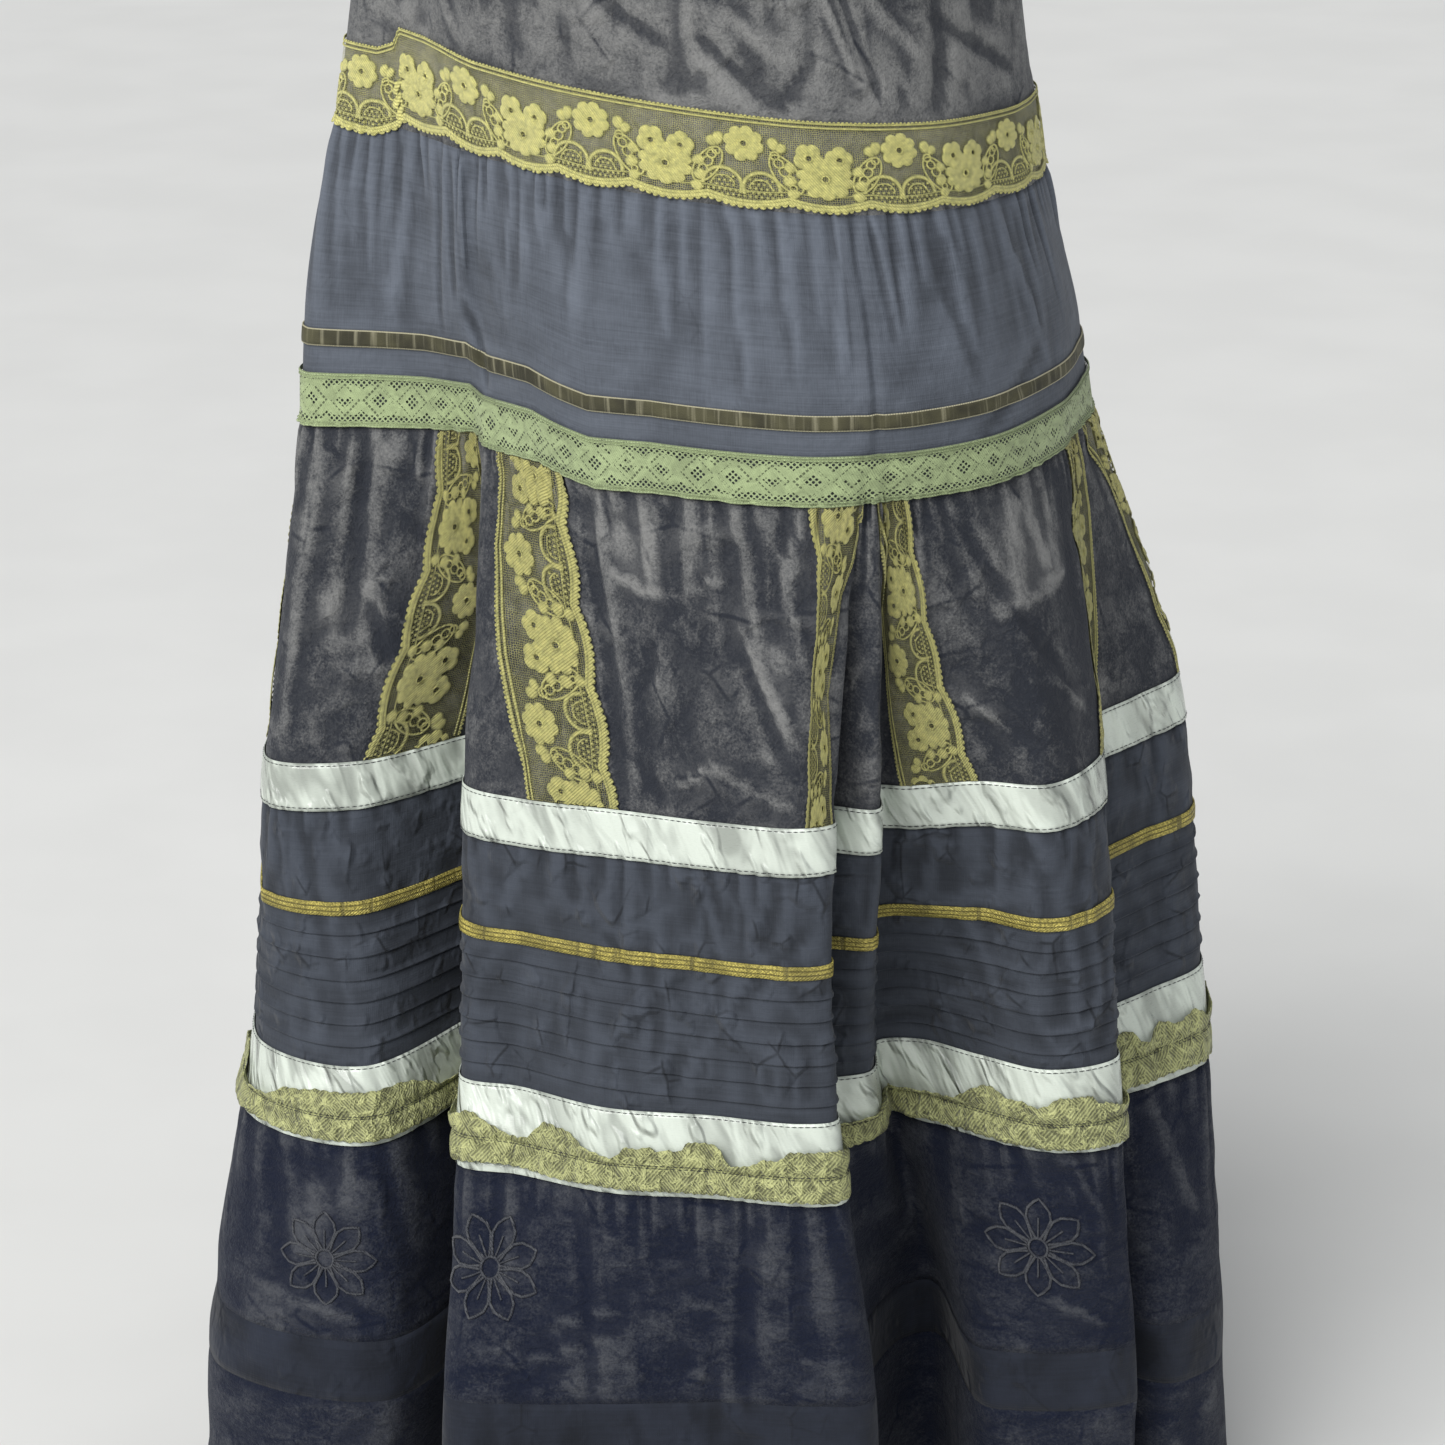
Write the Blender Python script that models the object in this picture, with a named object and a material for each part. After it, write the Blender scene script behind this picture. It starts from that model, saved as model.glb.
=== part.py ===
"""Tiered maxi skirt, worn and hollow: cloth tiers with lace, ribbon and satin trims.

The frame is in metres, +Z up, with the front towards -Y. The origin is at the centre of the
waist, half way up the waistband. Lengths in the constants and tables are in millimetres.
Every piece is a thin wall. Its rows are level sections of one folded cloth surface.
"""

from collections import namedtuple

import bmesh
import bpy
import numpy as np

MM = 0.001

# Heights below the waist
WAISTBAND_TOP = 15.0
WAISTBAND_BOTTOM = -15.0
YOKE_MIDDLE = -96.0
HIP_LACE_TOP = -177.0
YOKE_SEAM = -222.0
HIP_GATHER_PEAK = -240.0
HIP_GATHER_END = -319.0
VELVET_RIBBON_TOP = -319.0
VELVET_RIBBON_BOTTOM = -327.0
GREEN_LACE_TOP = -341.0
HIP_SEAM = -367.0
THIGH_GATHER_PEAK = -384.0
THIGH_GATHER_END = -528.0
THIGH_MIDDLE = -450.0
UPPER_SATIN_TOP = -528.0
UPPER_SATIN_SEAM = -553.0
GOLD_TRIM_TOP = -599.5
GOLD_TRIM_BOTTOM = -606.5
LOWER_SATIN_TOP = -682.0
RUFFLE_TOP = -696.0
RUFFLE_STITCH = -710.0
RUFFLE_BOTTOM = -724.0
LOWER_SATIN_SEAM = -725.0
CALF_GATHER_PEAK = -742.0
CALF_GATHER_END = -831.0
MATTE_TOP = -831.0
MATTE_BOTTOM = -864.0
HEM_MIDDLE = -902.0
HEM = -940.0

# Walls and clearances
CLOTH = 1.5
BAND_CLOTH = 2.4
TRIM = 1.0
GAP = 0.3

# Gathers: depth of a fold to each side of the cloth, and the most of it per column of cloth
HIP_GATHER = 1.6
THIGH_GATHER = 3.2
CALF_GATHER = 2.6
GATHER_PER_COLUMN = 0.2
# How far a corner's point may move for each unit of wall, and the turn that shuts a valley
CORNER_REACH = 1.8
VALLEY_TURN = 0.35

# Ruffle and scallops
RUFFLE_OUT = 7.0
# The part of that between two waves
RUFFLE_LOW = 0.25
# How far its edges stand off everywhere, and more in a valley, where there is no room to wave
RUFFLE_EDGE_OUT = 1.1
RUFFLE_VALLEY_OUT = 1.6
# A wave's length in points, and which point of it is the crest
RUFFLE_WAVE_POINTS = 3
RUFFLE_CREST = 1
SCALLOP_COLUMNS = 3
SCALLOP_DEPTH = 5.0

# Waist ellipse: half width, half depth and centre
WAIST_HALF_WIDTH = 152.0
WAIST_HALF_DEPTH = 112.0
WAIST_SIDE = -6.0
WAIST_FORE = 4.0
# The yoke seam is the hip section drawn in, part of the way to an ellipse
HIP_HALF_WIDTH = 205.0
HIP_HALF_DEPTH = 145.0
YOKE_WIDTH_SHARE = 0.86
YOKE_DEPTH_SHARE = 0.84
YOKE_ELLIPSE_SHARE = 0.45
# The hip tier puffs out between its seams by this share
HIP_PUFF = 0.03
# The hem edge is the lowest listed section let out a little
HEM_SHARE = 1.03

Level = namedtuple("Level", "name height roll smile")
# Roll is the rise of a seam for each unit towards the right, smile its rise at both sides
LEVELS = [
    Level("waist", 0.0, -0.05, 0.0),
    Level("yoke", HIP_LACE_TOP, -0.10, 4.0),
    Level("hip", GREEN_LACE_TOP, 0.0, 2.0),
    Level("thigh", UPPER_SATIN_TOP, 0.08, 0.0),
    Level("knee", LOWER_SATIN_TOP, 0.08, 0.0),
    Level("calf", MATTE_TOP, 0.0, 0.0),
    Level("hem", HEM, 0.0, 0.0),
]
SMILE_REACH = 200.0
# Half the height over which the slope of the cloth is read
SLOPE_REACH = 2.0
# Faces that meet at more than this many degrees get a sharp edge
SHARP_ANGLE = 50.0

Fold = namedtuple(
    "Fold",
    "name columns hip_side hip_fore thigh_side thigh_fore knee_side knee_fore calf_side calf_fore",
)
# One row for each crest, edge or valley, from the left side over the front and round the back
FOLDS = [
    Fold("left side", 4, -205, -7, -229, 28, -237, 48, -256, 108),
    Fold("left crease", 4, -144, 24, -181, 42, -178, 92, -167, 146),
    Fold("left valley", 3, -115, 48, -111, 10, -110, 20, -106, 40),
    Fold("front left edge", 2, -108, 56, -122, 88, -125, 114, -130, 206),
    Fold("front left strip", 4, -101, 64, -90, 117, -94, 132, -98, 214),
    Fold("front left face", 4, -68, 101, -42, 142, -48, 166, -45, 214),
    Fold("front middle", 4, -8, 138, 5, 168, 5, 184, 5, 212),
    Fold("front right strip", 3, 50, 158, 50, 187, 50, 202, 60, 216),
    Fold("front right edge", 2, 74, 158, 66, 183, 68, 201, 86, 212),
    Fold("right inner valley", 2, 80, 157, 61, 157, 61, 152, 86, 132),
    Fold("ledge edge", 2, 85, 155, 88, 168, 87, 144, 106, 84),
    Fold("ledge valley", 2, 89, 154, 90, 134, 92, 106, 124, 76),
    Fold("right strip", 4, 94, 153, 103, 138, 114, 108, 144, 150),
    Fold("right face", 4, 106, 149, 140, 139, 145, 134, 165, 158),
    Fold("right crest", 3, 142, 126, 176, 151, 180, 159, 206, 158),
    Fold("right edge", 2, 178, 70, 204, 112, 213, 150, 228, 148),
    Fold("side valley", 3, 185, 50, 202, 62, 208, 96, 217, 118),
    Fold("side strip", 4, 191, 28, 228, 32, 236, 68, 246, 128),
    Fold("right side", 3, 197, -10, 254, -2, 268, 36, 279, 96),
    Fold("right back edge", 2, 176, -72, 224, -74, 238, -64, 250, -56),
    Fold("right back valley", 2, 163, -87, 180, -88, 184, -86, 190, -86),
    Fold("back right edge", 4, 148, -99, 178, -126, 192, -142, 206, -160),
    Fold("back right crest", 4, 90, -121, 110, -156, 118, -178, 126, -206),
    Fold("back middle right edge", 2, 12, -131, 24, -160, 28, -182, 32, -212),
    Fold("back middle valley", 2, -14, -130, -10, -126, -10, -126, -10, -130),
    Fold("back middle left edge", 4, -40, -127, -46, -158, -52, -182, -58, -212),
    Fold("back left crest", 4, -104, -111, -128, -144, -138, -166, -150, -192),
    Fold("left back edge", 2, -158, -82, -190, -108, -204, -120, -220, -136),
    Fold("left back valley", 2, -172, -66, -188, -70, -192, -70, -196, -70),
    Fold("left side edge", 3, -184, -50, -220, -52, -234, -44, -248, -36),
]

Strip = namedtuple("Strip", "name fold first last")
# Lace strips of the thigh tier: the fold they start from and the columns they take from there
STRIPS = [
    Strip("left_a", "left crease", 0, 4),
    Strip("left_b", "front left strip", 0, 4),
    Strip("middle_a", "front right strip", 0, 3),
    Strip("middle_b", "right strip", 0, 4),
    Strip("right_a", "right edge", 0, 2),
    Strip("right_b", "side strip", 1, 4),
    Strip("back_right_a", "right back edge", -1, 1),
    Strip("back_right_b", "back right edge", -1, 2),
    Strip("back_middle_a", "back middle right edge", -2, 1),
    Strip("back_middle_b", "back middle left edge", -1, 2),
    Strip("back_left_a", "left back edge", -2, 1),
    Strip("back_left_b", "left side edge", -1, 2),
]

Cloth = namedtuple("Cloth", "name colour roughness metallic")
CLOTHS = {
    "yoke_velvet": Cloth("Crushed velvet, grey", (0.045, 0.046, 0.052), 0.55, 0.0),
    "plain_cloth": Cloth("Matte blue-grey cloth", (0.062, 0.075, 0.098), 0.85, 0.0),
    "lace": Cloth("Chartreuse lace", (0.46, 0.44, 0.11), 0.8, 0.0),
    "braid": Cloth("Sage lace braid", (0.22, 0.31, 0.14), 0.8, 0.0),
    "ribbon": Cloth("Olive velvet ribbon", (0.075, 0.068, 0.02), 0.8, 0.0),
    "satin": Cloth("Pale satin", (0.64, 0.74, 0.66), 0.3, 0.0),
    "cotton": Cloth("Slate cotton", (0.035, 0.044, 0.064), 0.9, 0.0),
    "gold": Cloth("Gold trim", (0.36, 0.28, 0.06), 0.4, 0.6),
    "ruffle": Cloth("Olive ruffle", (0.26, 0.29, 0.10), 0.85, 0.0),
    "black_velvet": Cloth("Crushed velvet, black", (0.014, 0.016, 0.025), 0.5, 0.0),
}


def clear_objects():
    """Remove what the file holds already."""
    for item in list(bpy.data.objects):
        bpy.data.objects.remove(item, do_unlink=True)


def make_materials():
    """One Principled material for each kind of cloth."""
    made = {}
    for key, cloth in CLOTHS.items():
        material = bpy.data.materials.new(cloth.name)
        material.use_nodes = True
        shader = material.node_tree.nodes["Principled BSDF"]
        shader.inputs["Base Color"].default_value = (*cloth.colour, 1.0)
        shader.inputs["Roughness"].default_value = cloth.roughness
        shader.inputs["Metallic"].default_value = cloth.metallic
        material.diffuse_color = (*cloth.colour, 1.0)
        made[key] = material
    return made


def fold_points(level):
    """Side and fore of every fold at one level."""
    hip = np.array([(fold.hip_side, fold.hip_fore) for fold in FOLDS], float)
    centre = np.array([WAIST_SIDE, WAIST_FORE])
    half = np.array([WAIST_HALF_WIDTH, WAIST_HALF_DEPTH])
    turned = (hip - centre) / half
    ellipse = turned / np.linalg.norm(turned, axis=1)[:, None] * half + centre
    if level == "waist":
        return ellipse
    if level == "yoke":
        drawn_in = hip * (YOKE_WIDTH_SHARE, YOKE_DEPTH_SHARE)
        size = np.array([YOKE_WIDTH_SHARE * HIP_HALF_WIDTH, YOKE_DEPTH_SHARE * HIP_HALF_DEPTH])
        round_part = (ellipse - centre) / half * size + centre
        return drawn_in * (1 - YOKE_ELLIPSE_SHARE) + round_part * YOKE_ELLIPSE_SHARE
    if level == "hip":
        return hip
    if level == "hem":
        return fold_points("calf") * HEM_SHARE
    return np.array([(getattr(fold, level + "_side"), getattr(fold, level + "_fore")) for fold in FOLDS])


def curve_between(before, start, end, after, share):
    """Point on the centripetal curve from start to end."""
    knots = [0.0]
    for one, other in ((before, start), (start, end), (end, after)):
        knots.append(knots[-1] + max(np.linalg.norm(other - one), 1.0) ** 0.5)
    place = knots[1] + share * (knots[2] - knots[1])

    def mix(one, other, first, last):
        return (one * (knots[last] - place) + other * (place - knots[first])) / (knots[last] - knots[first])

    first_leg = mix(before, start, 0, 1)
    middle_leg = mix(start, end, 1, 2)
    last_leg = mix(end, after, 2, 3)
    return mix(mix(first_leg, middle_leg, 0, 2), mix(middle_leg, last_leg, 1, 3), 1, 2)


def ring_of(level):
    """All columns of one level's closed section."""
    points = fold_points(level)
    count = len(points)
    ring = []
    for index, fold in enumerate(FOLDS):
        around = [points[(index + step) % count] for step in (-1, 0, 1, 2)]
        for sample in range(fold.columns):
            ring.append(curve_between(*around, sample / fold.columns))
    return np.array(ring)


RINGS = np.array([ring_of(level.name) for level in LEVELS])
COLUMNS = RINGS.shape[1]
LEVEL_HEIGHTS = np.array([level.height for level in LEVELS])
LEVEL_ROLLS = np.array([level.roll for level in LEVELS])
LEVEL_SMILES = np.array([level.smile for level in LEVELS])


def column_of(name):
    """First column of a named fold."""
    total = 0
    for fold in FOLDS:
        if fold.name == name:
            return total
        total += fold.columns
    raise KeyError(name)


def plain_section(height):
    """Cloth surface at one height, without gathers: one point for each column."""
    upper = int(np.clip(np.searchsorted(-LEVEL_HEIGHTS, -height) - 1, 0, len(LEVELS) - 2))
    slopes = []
    for level in (upper, upper + 1):
        first = max(level - 1, 0)
        last = min(level + 1, len(LEVELS) - 1)
        slopes.append((RINGS[last] - RINGS[first]) / (LEVEL_HEIGHTS[last] - LEVEL_HEIGHTS[first]))
    span = LEVEL_HEIGHTS[upper + 1] - LEVEL_HEIGHTS[upper]
    share = (height - LEVEL_HEIGHTS[upper]) / span
    flat = (
        RINGS[upper] * (1 + 2 * share) * (1 - share) ** 2
        + slopes[0] * span * share * (1 - share) ** 2
        + RINGS[upper + 1] * share**2 * (3 - 2 * share)
        + slopes[1] * span * share**2 * (share - 1)
    )
    if HIP_SEAM < height < YOKE_SEAM:
        flat *= 1 + HIP_PUFF * np.sin(np.pi * (height - YOKE_SEAM) / (HIP_SEAM - YOKE_SEAM))
    roll = np.interp(-height, -LEVEL_HEIGHTS, LEVEL_ROLLS)
    smile = np.interp(-height, -LEVEL_HEIGHTS, LEVEL_SMILES)
    rise = roll * flat[:, 0] + smile * (flat[:, 0] / SMILE_REACH) ** 2
    return np.column_stack([flat[:, 0], -flat[:, 1], height + rise])


def gather_depth(height):
    """How deep the gathers are at one height."""
    tiers = (
        (YOKE_SEAM, HIP_GATHER_PEAK, HIP_GATHER_END, HIP_GATHER),
        (HIP_SEAM, THIGH_GATHER_PEAK, THIGH_GATHER_END, THIGH_GATHER),
        (LOWER_SATIN_SEAM, CALF_GATHER_PEAK, CALF_GATHER_END, CALF_GATHER),
    )
    for top, peak, end, depth in tiers:
        if end < height < top:
            return depth * np.interp(-height, (-top, -peak, -end), (0.0, 1.0, 0.0))
    return 0.0


def unit(vectors):
    """The same directions, each one long."""
    return vectors / np.linalg.norm(vectors, axis=1)[:, None]


def outward(height):
    """Outward direction of the cloth at one height for each column, longer at a sharp corner."""
    points = plain_section(height)
    ahead = unit(np.roll(points, -1, axis=0) - points)
    along = ahead + np.roll(ahead, 1, axis=0)
    above = plain_section(min(height + SLOPE_REACH, WAISTBAND_TOP))
    rise = above - plain_section(max(height - SLOPE_REACH, HEM))
    corner = np.minimum(2.0 / np.linalg.norm(along, axis=1), CORNER_REACH)
    return unit(np.cross(along, rise)) * corner[:, None]


def openness(height):
    """1 where the cloth is flat or bulges, down to 0 by a valley, for each column."""
    points = plain_section(height)
    ahead = unit(np.roll(points, -1, axis=0) - points)
    behind = np.roll(ahead, 1, axis=0)
    turn = behind[:, 0] * ahead[:, 1] - behind[:, 1] * ahead[:, 0]
    worst = np.min([np.roll(turn, step) for step in range(-2, 3)], axis=0)
    return np.clip(1.0 + worst / VALLEY_TURN, 0.0, 1.0)


def section(height, out=0.0):
    """Cloth surface at one height with its gathers, moved out along its normals."""
    points = plain_section(height)
    spacing = np.linalg.norm(np.roll(points, -1, axis=0) - np.roll(points, 1, axis=0), axis=1) / 2
    side = np.where(np.arange(COLUMNS) % 2 == 0, 1.0, -1.0)
    depth = gather_depth(height)
    gather = side * np.minimum(depth, spacing * GATHER_PER_COLUMN * (depth > 0))
    return points + outward(height) * (gather + out)[:, None]


def part_of_ring(row, first, last, trim=True):
    """Columns first to last of a row, both ends drawn in by half a seam gap."""
    picked = row[np.arange(first, last + 1) % len(row)].copy()
    if trim:
        for end, inner in ((0, 1), (-1, -2)):
            inwards = picked[inner] - picked[end]
            picked[end] += inwards / np.linalg.norm(inwards) * GAP / 2
    return picked


def wall(name, outer, inner, material, closed):
    """A wall between outer and inner rows, listed from the top down."""
    mesh = bpy.data.meshes.new(name)
    shape = bmesh.new()
    sides = []
    for rows in (outer, inner):
        sides.append([[shape.verts.new(point * MM) for point in row] for row in rows])
    count = len(outer[0])
    spans = count if closed else count - 1

    def join(upper, lower, faces_in=False):
        for column in range(spans):
            after = (column + 1) % count
            for corners in (
                (upper[column], lower[column], lower[after]),
                (upper[column], lower[after], upper[after]),
            ):
                shape.faces.new(reversed(corners) if faces_in else corners)

    front, back = sides
    for upper, lower in zip(front, front[1:]):
        join(upper, lower)
    for upper, lower in zip(back, back[1:]):
        join(upper, lower, faces_in=True)
    join(front[0], back[0], faces_in=True)
    join(front[-1], back[-1])
    if not closed:
        for end in (0, -1):
            shape.faces.new([row[end] for row in front] + [row[end] for row in reversed(back)])
    bmesh.ops.recalc_face_normals(shape, faces=shape.faces[:])
    bmesh.ops.triangulate(shape, faces=[face for face in shape.faces if len(face.verts) > 3])
    shape.to_mesh(mesh)
    shape.free()
    mesh.shade_smooth()
    mesh.set_sharp_from_angle(angle=np.radians(SHARP_ANGLE))
    item = bpy.data.objects.new(name, mesh)
    item.data.materials.append(material)
    bpy.context.collection.objects.link(item)
    return item


def tier_rows(heights, out):
    """Sections of a tier, its first and last drawn in by half a seam gap."""
    rows = [section(height, out) for height in heights]
    rows[0][:, 2] -= GAP / 2
    rows[-1][:, 2] += GAP / 2
    return rows


def tier(name, heights, inner_heights, material):
    """Front and back panels of one tier, with a seam at each side."""
    outer = tier_rows(heights, 0.0)
    inner = tier_rows(inner_heights, -CLOTH)
    right = column_of("right side")
    for half, first, last in (("front", 0, right), ("back", right, COLUMNS)):
        wall(
            f"{name}_{half}",
            [part_of_ring(row, first, last) for row in outer],
            [part_of_ring(row, first, last) for row in inner],
            material,
            closed=False,
        )


def trim_ring(name, top, bottom, material):
    """A trim laid on a tier, all the way round."""
    heights = (top, bottom)
    outer = [section(height, GAP + TRIM) for height in heights]
    inner = [section(height, GAP) for height in heights]
    wall(name, outer, inner, material, closed=True)


def make_waistband(material):
    """A plain band over the yoke's top edge, on every second column."""
    heights = (WAISTBAND_TOP, WAISTBAND_BOTTOM + GAP / 2)
    outer = [section(height, (BAND_CLOTH - CLOTH) / 2)[::2] for height in heights]
    inner = [section(height, -(BAND_CLOTH + CLOTH) / 2)[::2] for height in heights]
    wall("waistband", outer, inner, material, closed=True)


def row_on_facets(top, bottom, share, out):
    """A row part of the way down a tier's flat facets, between two of its heights."""
    upper = section(top, out)
    lower = section(bottom, out)
    lower[:, 2] += GAP / 2
    return upper + (lower - upper) * share[:, None]


def make_hip_lace(material):
    """Lace over the lower yoke, its lower edge scalloped."""
    notch = (np.arange(COLUMNS) % SCALLOP_COLUMNS == 0) * SCALLOP_DEPTH
    share = 1 - (notch + GAP) / (HIP_LACE_TOP - YOKE_SEAM)
    sides = []
    for out in (GAP + TRIM, GAP):
        scallops = row_on_facets(HIP_LACE_TOP, YOKE_SEAM, share, out)
        sides.append([section(HIP_LACE_TOP, out), scallops])
    wall("hip_lace", sides[0], sides[1], material, closed=True)


def make_lace_strips(material):
    """Upright lace strips, in mirrored pairs, on the thigh tier."""
    heights = (HIP_SEAM - GAP, THIGH_GATHER_PEAK, THIGH_MIDDLE, UPPER_SATIN_TOP + GAP)
    for strip in STRIPS:
        start = column_of(strip.fold)
        sides = []
        for out in (GAP + TRIM, GAP):
            rows = [section(height, out) for height in heights]
            sides.append([part_of_ring(row, start + strip.first, start + strip.last, False) for row in rows])
        wall(f"lace_strip_{strip.name}", sides[0], sides[1], material, closed=False)


def halfway_columns(row):
    """The row with one more point midway between neighbouring columns."""
    middle = (row + np.roll(row, -1, axis=0)) / 2
    return np.stack([row, middle], axis=1).reshape(-1, row.shape[1])


def ruffle_row(height, out, on_satin):
    """A row along the lower satin, on its facets or, with even points, by them."""
    share = (LOWER_SATIN_TOP - height) / (LOWER_SATIN_TOP - LOWER_SATIN_SEAM - GAP)
    upper = section(LOWER_SATIN_TOP, out)
    lower = section(LOWER_SATIN_SEAM + GAP, out)
    upright = upper + (lower - upper) * share
    if not on_satin:
        return halfway_columns(upright)
    on_diagonals = upper + (np.roll(lower, -1, axis=0) - upper) * share
    return np.stack([upright, on_diagonals], axis=1).reshape(-1, 3)


def make_ruffle(material):
    """A lace ruffle stitched along its middle, both edges waving out."""
    place = np.arange(2 * COLUMNS) % RUFFLE_WAVE_POINTS
    wave = np.where(place == RUFFLE_CREST, 1.0, RUFFLE_LOW)
    normal = halfway_columns(outward(RUFFLE_STITCH))
    free = halfway_columns(openness(RUFFLE_STITCH)[:, None])[:, 0]
    shut = (1 - free) * RUFFLE_VALLEY_OUT + RUFFLE_EDGE_OUT
    lifts = {
        RUFFLE_TOP: wave * free * RUFFLE_OUT + shut,
        RUFFLE_STITCH: 0.0 * wave,
        RUFFLE_BOTTOM: np.roll(wave, 1) * free * RUFFLE_OUT + shut,
    }
    base = GAP + TRIM + GAP
    sides = []
    for out in (base + TRIM, base):
        rows = []
        for height, lift in lifts.items():
            rows.append(ruffle_row(height, out, height == RUFFLE_STITCH) + normal * lift[:, None])
        sides.append(rows)
    wall("ruffle", sides[0], sides[1], material, closed=True)


def build():
    """Build every piece, from the waist down."""
    clear_objects()
    cloth = make_materials()
    make_waistband(cloth["yoke_velvet"])
    tier(
        "yoke",
        [WAISTBAND_BOTTOM, YOKE_MIDDLE, HIP_LACE_TOP, YOKE_SEAM],
        [WAISTBAND_BOTTOM, YOKE_MIDDLE, HIP_LACE_TOP, YOKE_SEAM],
        cloth["yoke_velvet"],
    )
    make_hip_lace(cloth["lace"])
    tier(
        "hip_tier",
        [YOKE_SEAM, HIP_GATHER_PEAK, VELVET_RIBBON_TOP, VELVET_RIBBON_BOTTOM, GREEN_LACE_TOP, HIP_SEAM],
        [YOKE_SEAM, HIP_GATHER_PEAK, VELVET_RIBBON_TOP, HIP_SEAM],
        cloth["plain_cloth"],
    )
    trim_ring("velvet_ribbon", VELVET_RIBBON_TOP, VELVET_RIBBON_BOTTOM, cloth["ribbon"])
    trim_ring("green_lace", GREEN_LACE_TOP, HIP_SEAM + GAP, cloth["braid"])
    tier(
        "velvet_tier",
        [HIP_SEAM, THIGH_GATHER_PEAK, THIGH_MIDDLE, UPPER_SATIN_TOP, UPPER_SATIN_SEAM],
        [HIP_SEAM, THIGH_GATHER_PEAK, THIGH_MIDDLE, UPPER_SATIN_TOP, UPPER_SATIN_SEAM],
        cloth["yoke_velvet"],
    )
    make_lace_strips(cloth["lace"])
    trim_ring("upper_satin", UPPER_SATIN_TOP, UPPER_SATIN_SEAM + GAP, cloth["satin"])
    tier(
        "pintuck_tier",
        [UPPER_SATIN_SEAM, GOLD_TRIM_TOP, GOLD_TRIM_BOTTOM, LOWER_SATIN_TOP, LOWER_SATIN_SEAM],
        [UPPER_SATIN_SEAM, GOLD_TRIM_TOP, LOWER_SATIN_TOP, LOWER_SATIN_SEAM],
        cloth["cotton"],
    )
    trim_ring("gold_trim", GOLD_TRIM_TOP, GOLD_TRIM_BOTTOM, cloth["gold"])
    trim_ring("lower_satin", LOWER_SATIN_TOP, LOWER_SATIN_SEAM + GAP, cloth["satin"])
    make_ruffle(cloth["ruffle"])
    tier(
        "bottom_tier",
        [LOWER_SATIN_SEAM, CALF_GATHER_PEAK, MATTE_TOP],
        [LOWER_SATIN_SEAM, CALF_GATHER_PEAK, MATTE_TOP],
        cloth["black_velvet"],
    )
    tier("matte_band", [MATTE_TOP, MATTE_BOTTOM], [MATTE_TOP, MATTE_BOTTOM], cloth["cotton"])
    tier("hem_tier", [MATTE_BOTTOM, HEM_MIDDLE, HEM], [MATTE_BOTTOM, HEM_MIDDLE, HEM], cloth["black_velvet"])


build()
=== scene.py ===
"""The looks of a tiered maxi skirt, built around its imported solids.

Lengths in the tables are in millimetres below the waist, and points are (side, -fore, height),
as in the solids. Every cloth is a thin shell on one folded surface, and what is sewn on lies on it.
"""

import math
from collections import namedtuple

import bpy
import numpy as np
from mathutils import Matrix, Vector


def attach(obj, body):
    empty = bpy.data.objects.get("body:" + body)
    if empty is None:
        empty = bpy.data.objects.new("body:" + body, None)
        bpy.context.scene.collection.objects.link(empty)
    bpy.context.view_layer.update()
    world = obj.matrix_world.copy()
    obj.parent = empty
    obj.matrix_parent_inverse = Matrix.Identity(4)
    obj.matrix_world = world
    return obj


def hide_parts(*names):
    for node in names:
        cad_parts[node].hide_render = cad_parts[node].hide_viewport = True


bl_info = {
    "name": "Tiered Maxi Skirt",
    "version": (1, 0, 0),
    "blender": (4, 5, 0),
    "location": "3D View > Sidebar > Skirt",
    "description": "Builds a tiered skirt of velvet and cotton with lace, ribbon and satin trims",
    "category": "Object",
}

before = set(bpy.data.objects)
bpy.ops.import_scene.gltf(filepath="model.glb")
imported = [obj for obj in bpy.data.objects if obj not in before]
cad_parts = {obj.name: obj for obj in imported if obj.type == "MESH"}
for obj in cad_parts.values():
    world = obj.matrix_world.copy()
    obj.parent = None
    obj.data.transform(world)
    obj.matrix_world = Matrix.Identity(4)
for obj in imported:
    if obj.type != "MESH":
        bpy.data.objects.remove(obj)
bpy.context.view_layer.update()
BODY = "root"
MM = 0.001

# Heights below the waist, as in the solids
WAISTBAND_TOP = 15.0
WAISTBAND_BOTTOM = -15.0
HIP_LACE_TOP = -177.0
YOKE_SEAM = -222.0
VELVET_RIBBON_TOP = -319.0
VELVET_RIBBON_BOTTOM = -327.0
GREEN_LACE_TOP = -339.5
HIP_SEAM = -365.0
HIP_LEVEL = -341.0
THIGH_MIDDLE = -450.0
UPPER_SATIN_TOP = -528.0
UPPER_SATIN_SEAM = -553.0
GOLD_TRIM_TOP = -599.5
GOLD_TRIM_BOTTOM = -606.5
LOWER_SATIN_TOP = -682.0
RUFFLE_STITCH = -710.0
LOWER_SATIN_SEAM = -725.0
MATTE_TOP = -831.0
MATTE_BOTTOM = -864.0
HEM = -940.0
FLOOR = -975.0

Level = namedtuple("Level", "name height roll smile")
# Roll is the rise of a seam for each unit towards the right, smile its rise at both sides
LEVELS = [Level(*values) for values in (
    ("waist", 0.0, -0.05, 0.0),
    ("yoke", HIP_LACE_TOP, -0.10, 4.0),
    ("hip", HIP_LEVEL, 0.0, 2.0),
    ("thigh", UPPER_SATIN_TOP, 0.08, 0.0),
    ("knee", LOWER_SATIN_TOP, 0.08, 0.0),
    ("calf", MATTE_TOP, 0.0, 0.0),
    ("hem", HEM, 0.0, 0.0),
)]
SMILE_REACH = 200.0

Fold = namedtuple(
    "Fold",
    "name columns hip_side hip_fore thigh_side thigh_fore knee_side knee_fore calf_side calf_fore",
)
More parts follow.
